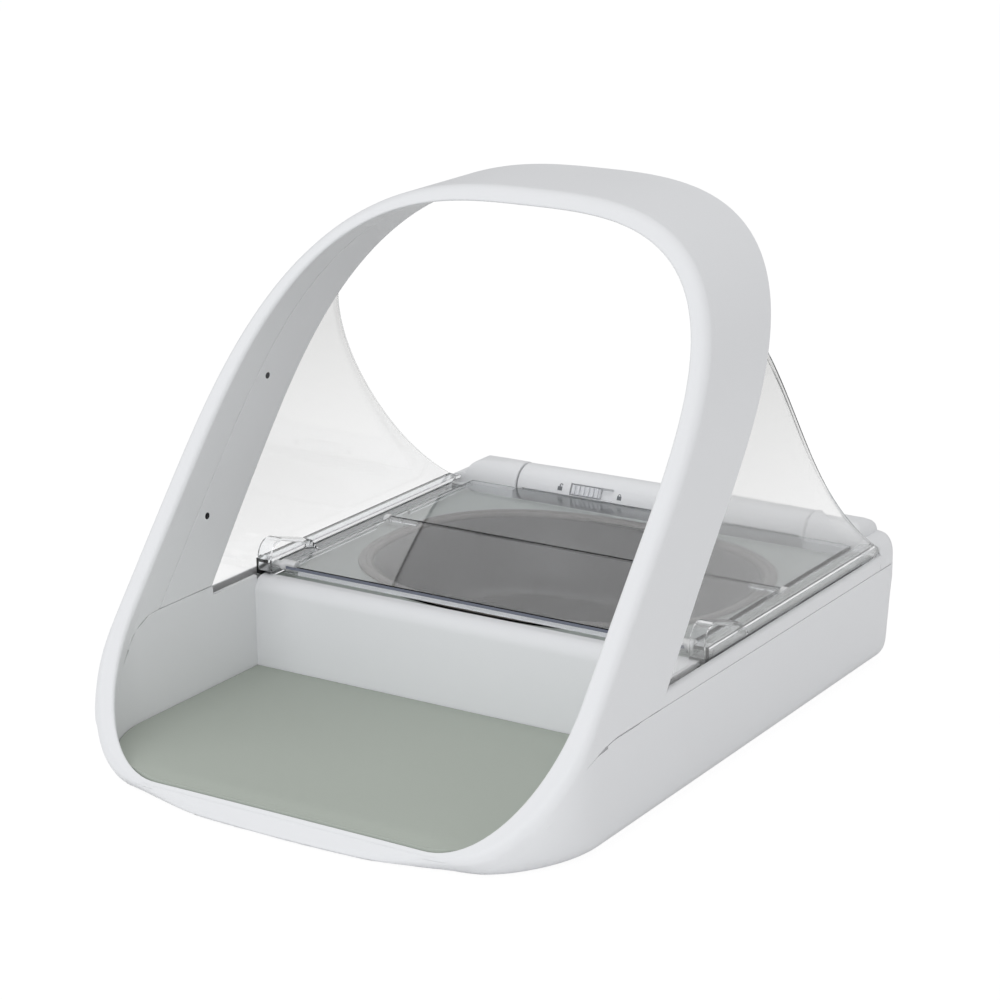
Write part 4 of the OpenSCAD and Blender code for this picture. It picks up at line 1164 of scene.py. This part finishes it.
def makeMat():
    bm = bmesh.new()
    half = form["holeHalf"] - mat["play"]
    columns, rows = mat["columns"], mat["rows"]
    xs = [half * sin(radians(90 * k / columns)) for k in range(-columns, columns + 1)]
    line = [bayPoint(*spot, -mat["play"]) for spot in frontSpots(24, 24, 1)]

    def place(a, b):
        x, t = xs[a], (b / rows) ** mat["crowd"]
        front = between(line, abs(x))
        y = front + (mat["rear"] - front) * t
        low = max(mat["lipLow"], min(mat["top"], frontHeight(front) + 0.2))
        return (x, y, low + (mat["top"] - low) * smooth((y - front) / mat["fall"]))

    laid(bm, 2 * columns, rows, place)
    moved = bmesh.ops.extrude_face_region(bm, geom=bm.faces[:])
    for v in moved["geom"]:
        if isinstance(v, bmesh.types.BMVert):
            v.co.z = mat["base"]
    keep("bayMat", bm, "sageMat", body="floor_mat", stands=["mat"], slot="sage_mat", sharp=40, edge=mat["edge"],
         steps=4)


# solids whose CAD shape is right, with their moulded edges softened
softer = [("bottom_plate", "feeder", 0.4), ("feet", "feeder", 0.7), ("screws", "feeder", 0.12),
          ("pair_button", "pair_key", 0.6), ("open_button", "open_key", 0.6), ("status_lens", "feeder", 0.4),
          ("door_left", "battery_door_left", 0.35), ("door_right", "battery_door_right", 0.35),
          ("cell_case_left", "feeder", 0.4), ("cell_case_right", "feeder", 0.4), ("cells_left", "feeder", 0.8),
          ("cells_right", "feeder", 0.8), ("gear_motor", "feeder", 0.5), ("drive_shaft", "rear_leaf", 0.2),
          ("pivot_pin", "rear_leaf", 0.2), ("pivot_bush", "feeder", 0.3), ("sensors_left", "feeder", 0.15),
          ("sensors_right", "feeder", 0.15), ("circuit_board", "feeder", 0.15), ("contacts_left", "feeder", 0.1),
          ("contacts_right", "feeder", 0.1)]
slotPaint = {"white_shell": "satinWhite", "underside": "warmGreyUnderside", "clear_plastic": "clearPlastic",
             "sage_tray": "sageDeck", "dark_bowl": "darkBowl", "sage_mat": "sageMat", "steel": "brushedSteel",
             "bush_plastic": "bushNylon", "board_green": "boardGreen", "copper_loop": "copperTape",
             "dark_sensor": "darkEye", "cell_wrap": "cellWrap", "case_plastic": "caseGrey", "button_grey": "buttonGrey",
             "lens_plastic": "lensPlastic", "foot_rubber": "footRubber"}
slotOf = {row["node"]: row["material_slot"] for row in frame["record"]["subparts"]}


def soften(node, body, edge):
    bm = bmesh.new()
    bm.from_mesh(frame["nodes"][node].data)
    bmesh.ops.scale(bm, vec=(1 / mm,) * 3, verts=bm.verts)
    bmesh.ops.remove_doubles(bm, verts=bm.verts, dist=0.002)
    bmesh.ops.dissolve_limit(bm, angle_limit=radians(2), verts=bm.verts, edges=bm.edges)
    words = (node if "_" in node else "soft_" + node).split("_")
    name, slot = words[0] + "".join(w.capitalize() for w in words[1:]), slotOf[node]
    keep(name, bm, slotPaint[slot], body=body, stands=[node], slot=slot, edge=edge, sharp=36)


makeRearHousing()
makeBarrel()
makeLid()
makeWings()
makeTracks()
makeBowl()
makeDeck()
makeMat()
for node, body, edge in softer:
    soften(node, body, edge)
print("lid, bowl, mat and small pieces made")

# what is left of the CAD keeps its shape and gets its finish
for name, solid in frame["nodes"].items():
    if not solid.hide_render:
        solid.data.materials.clear()
        solid.data.materials.append(finish(slotPaint[slotOf[name]]))
        print("carried over:", name)
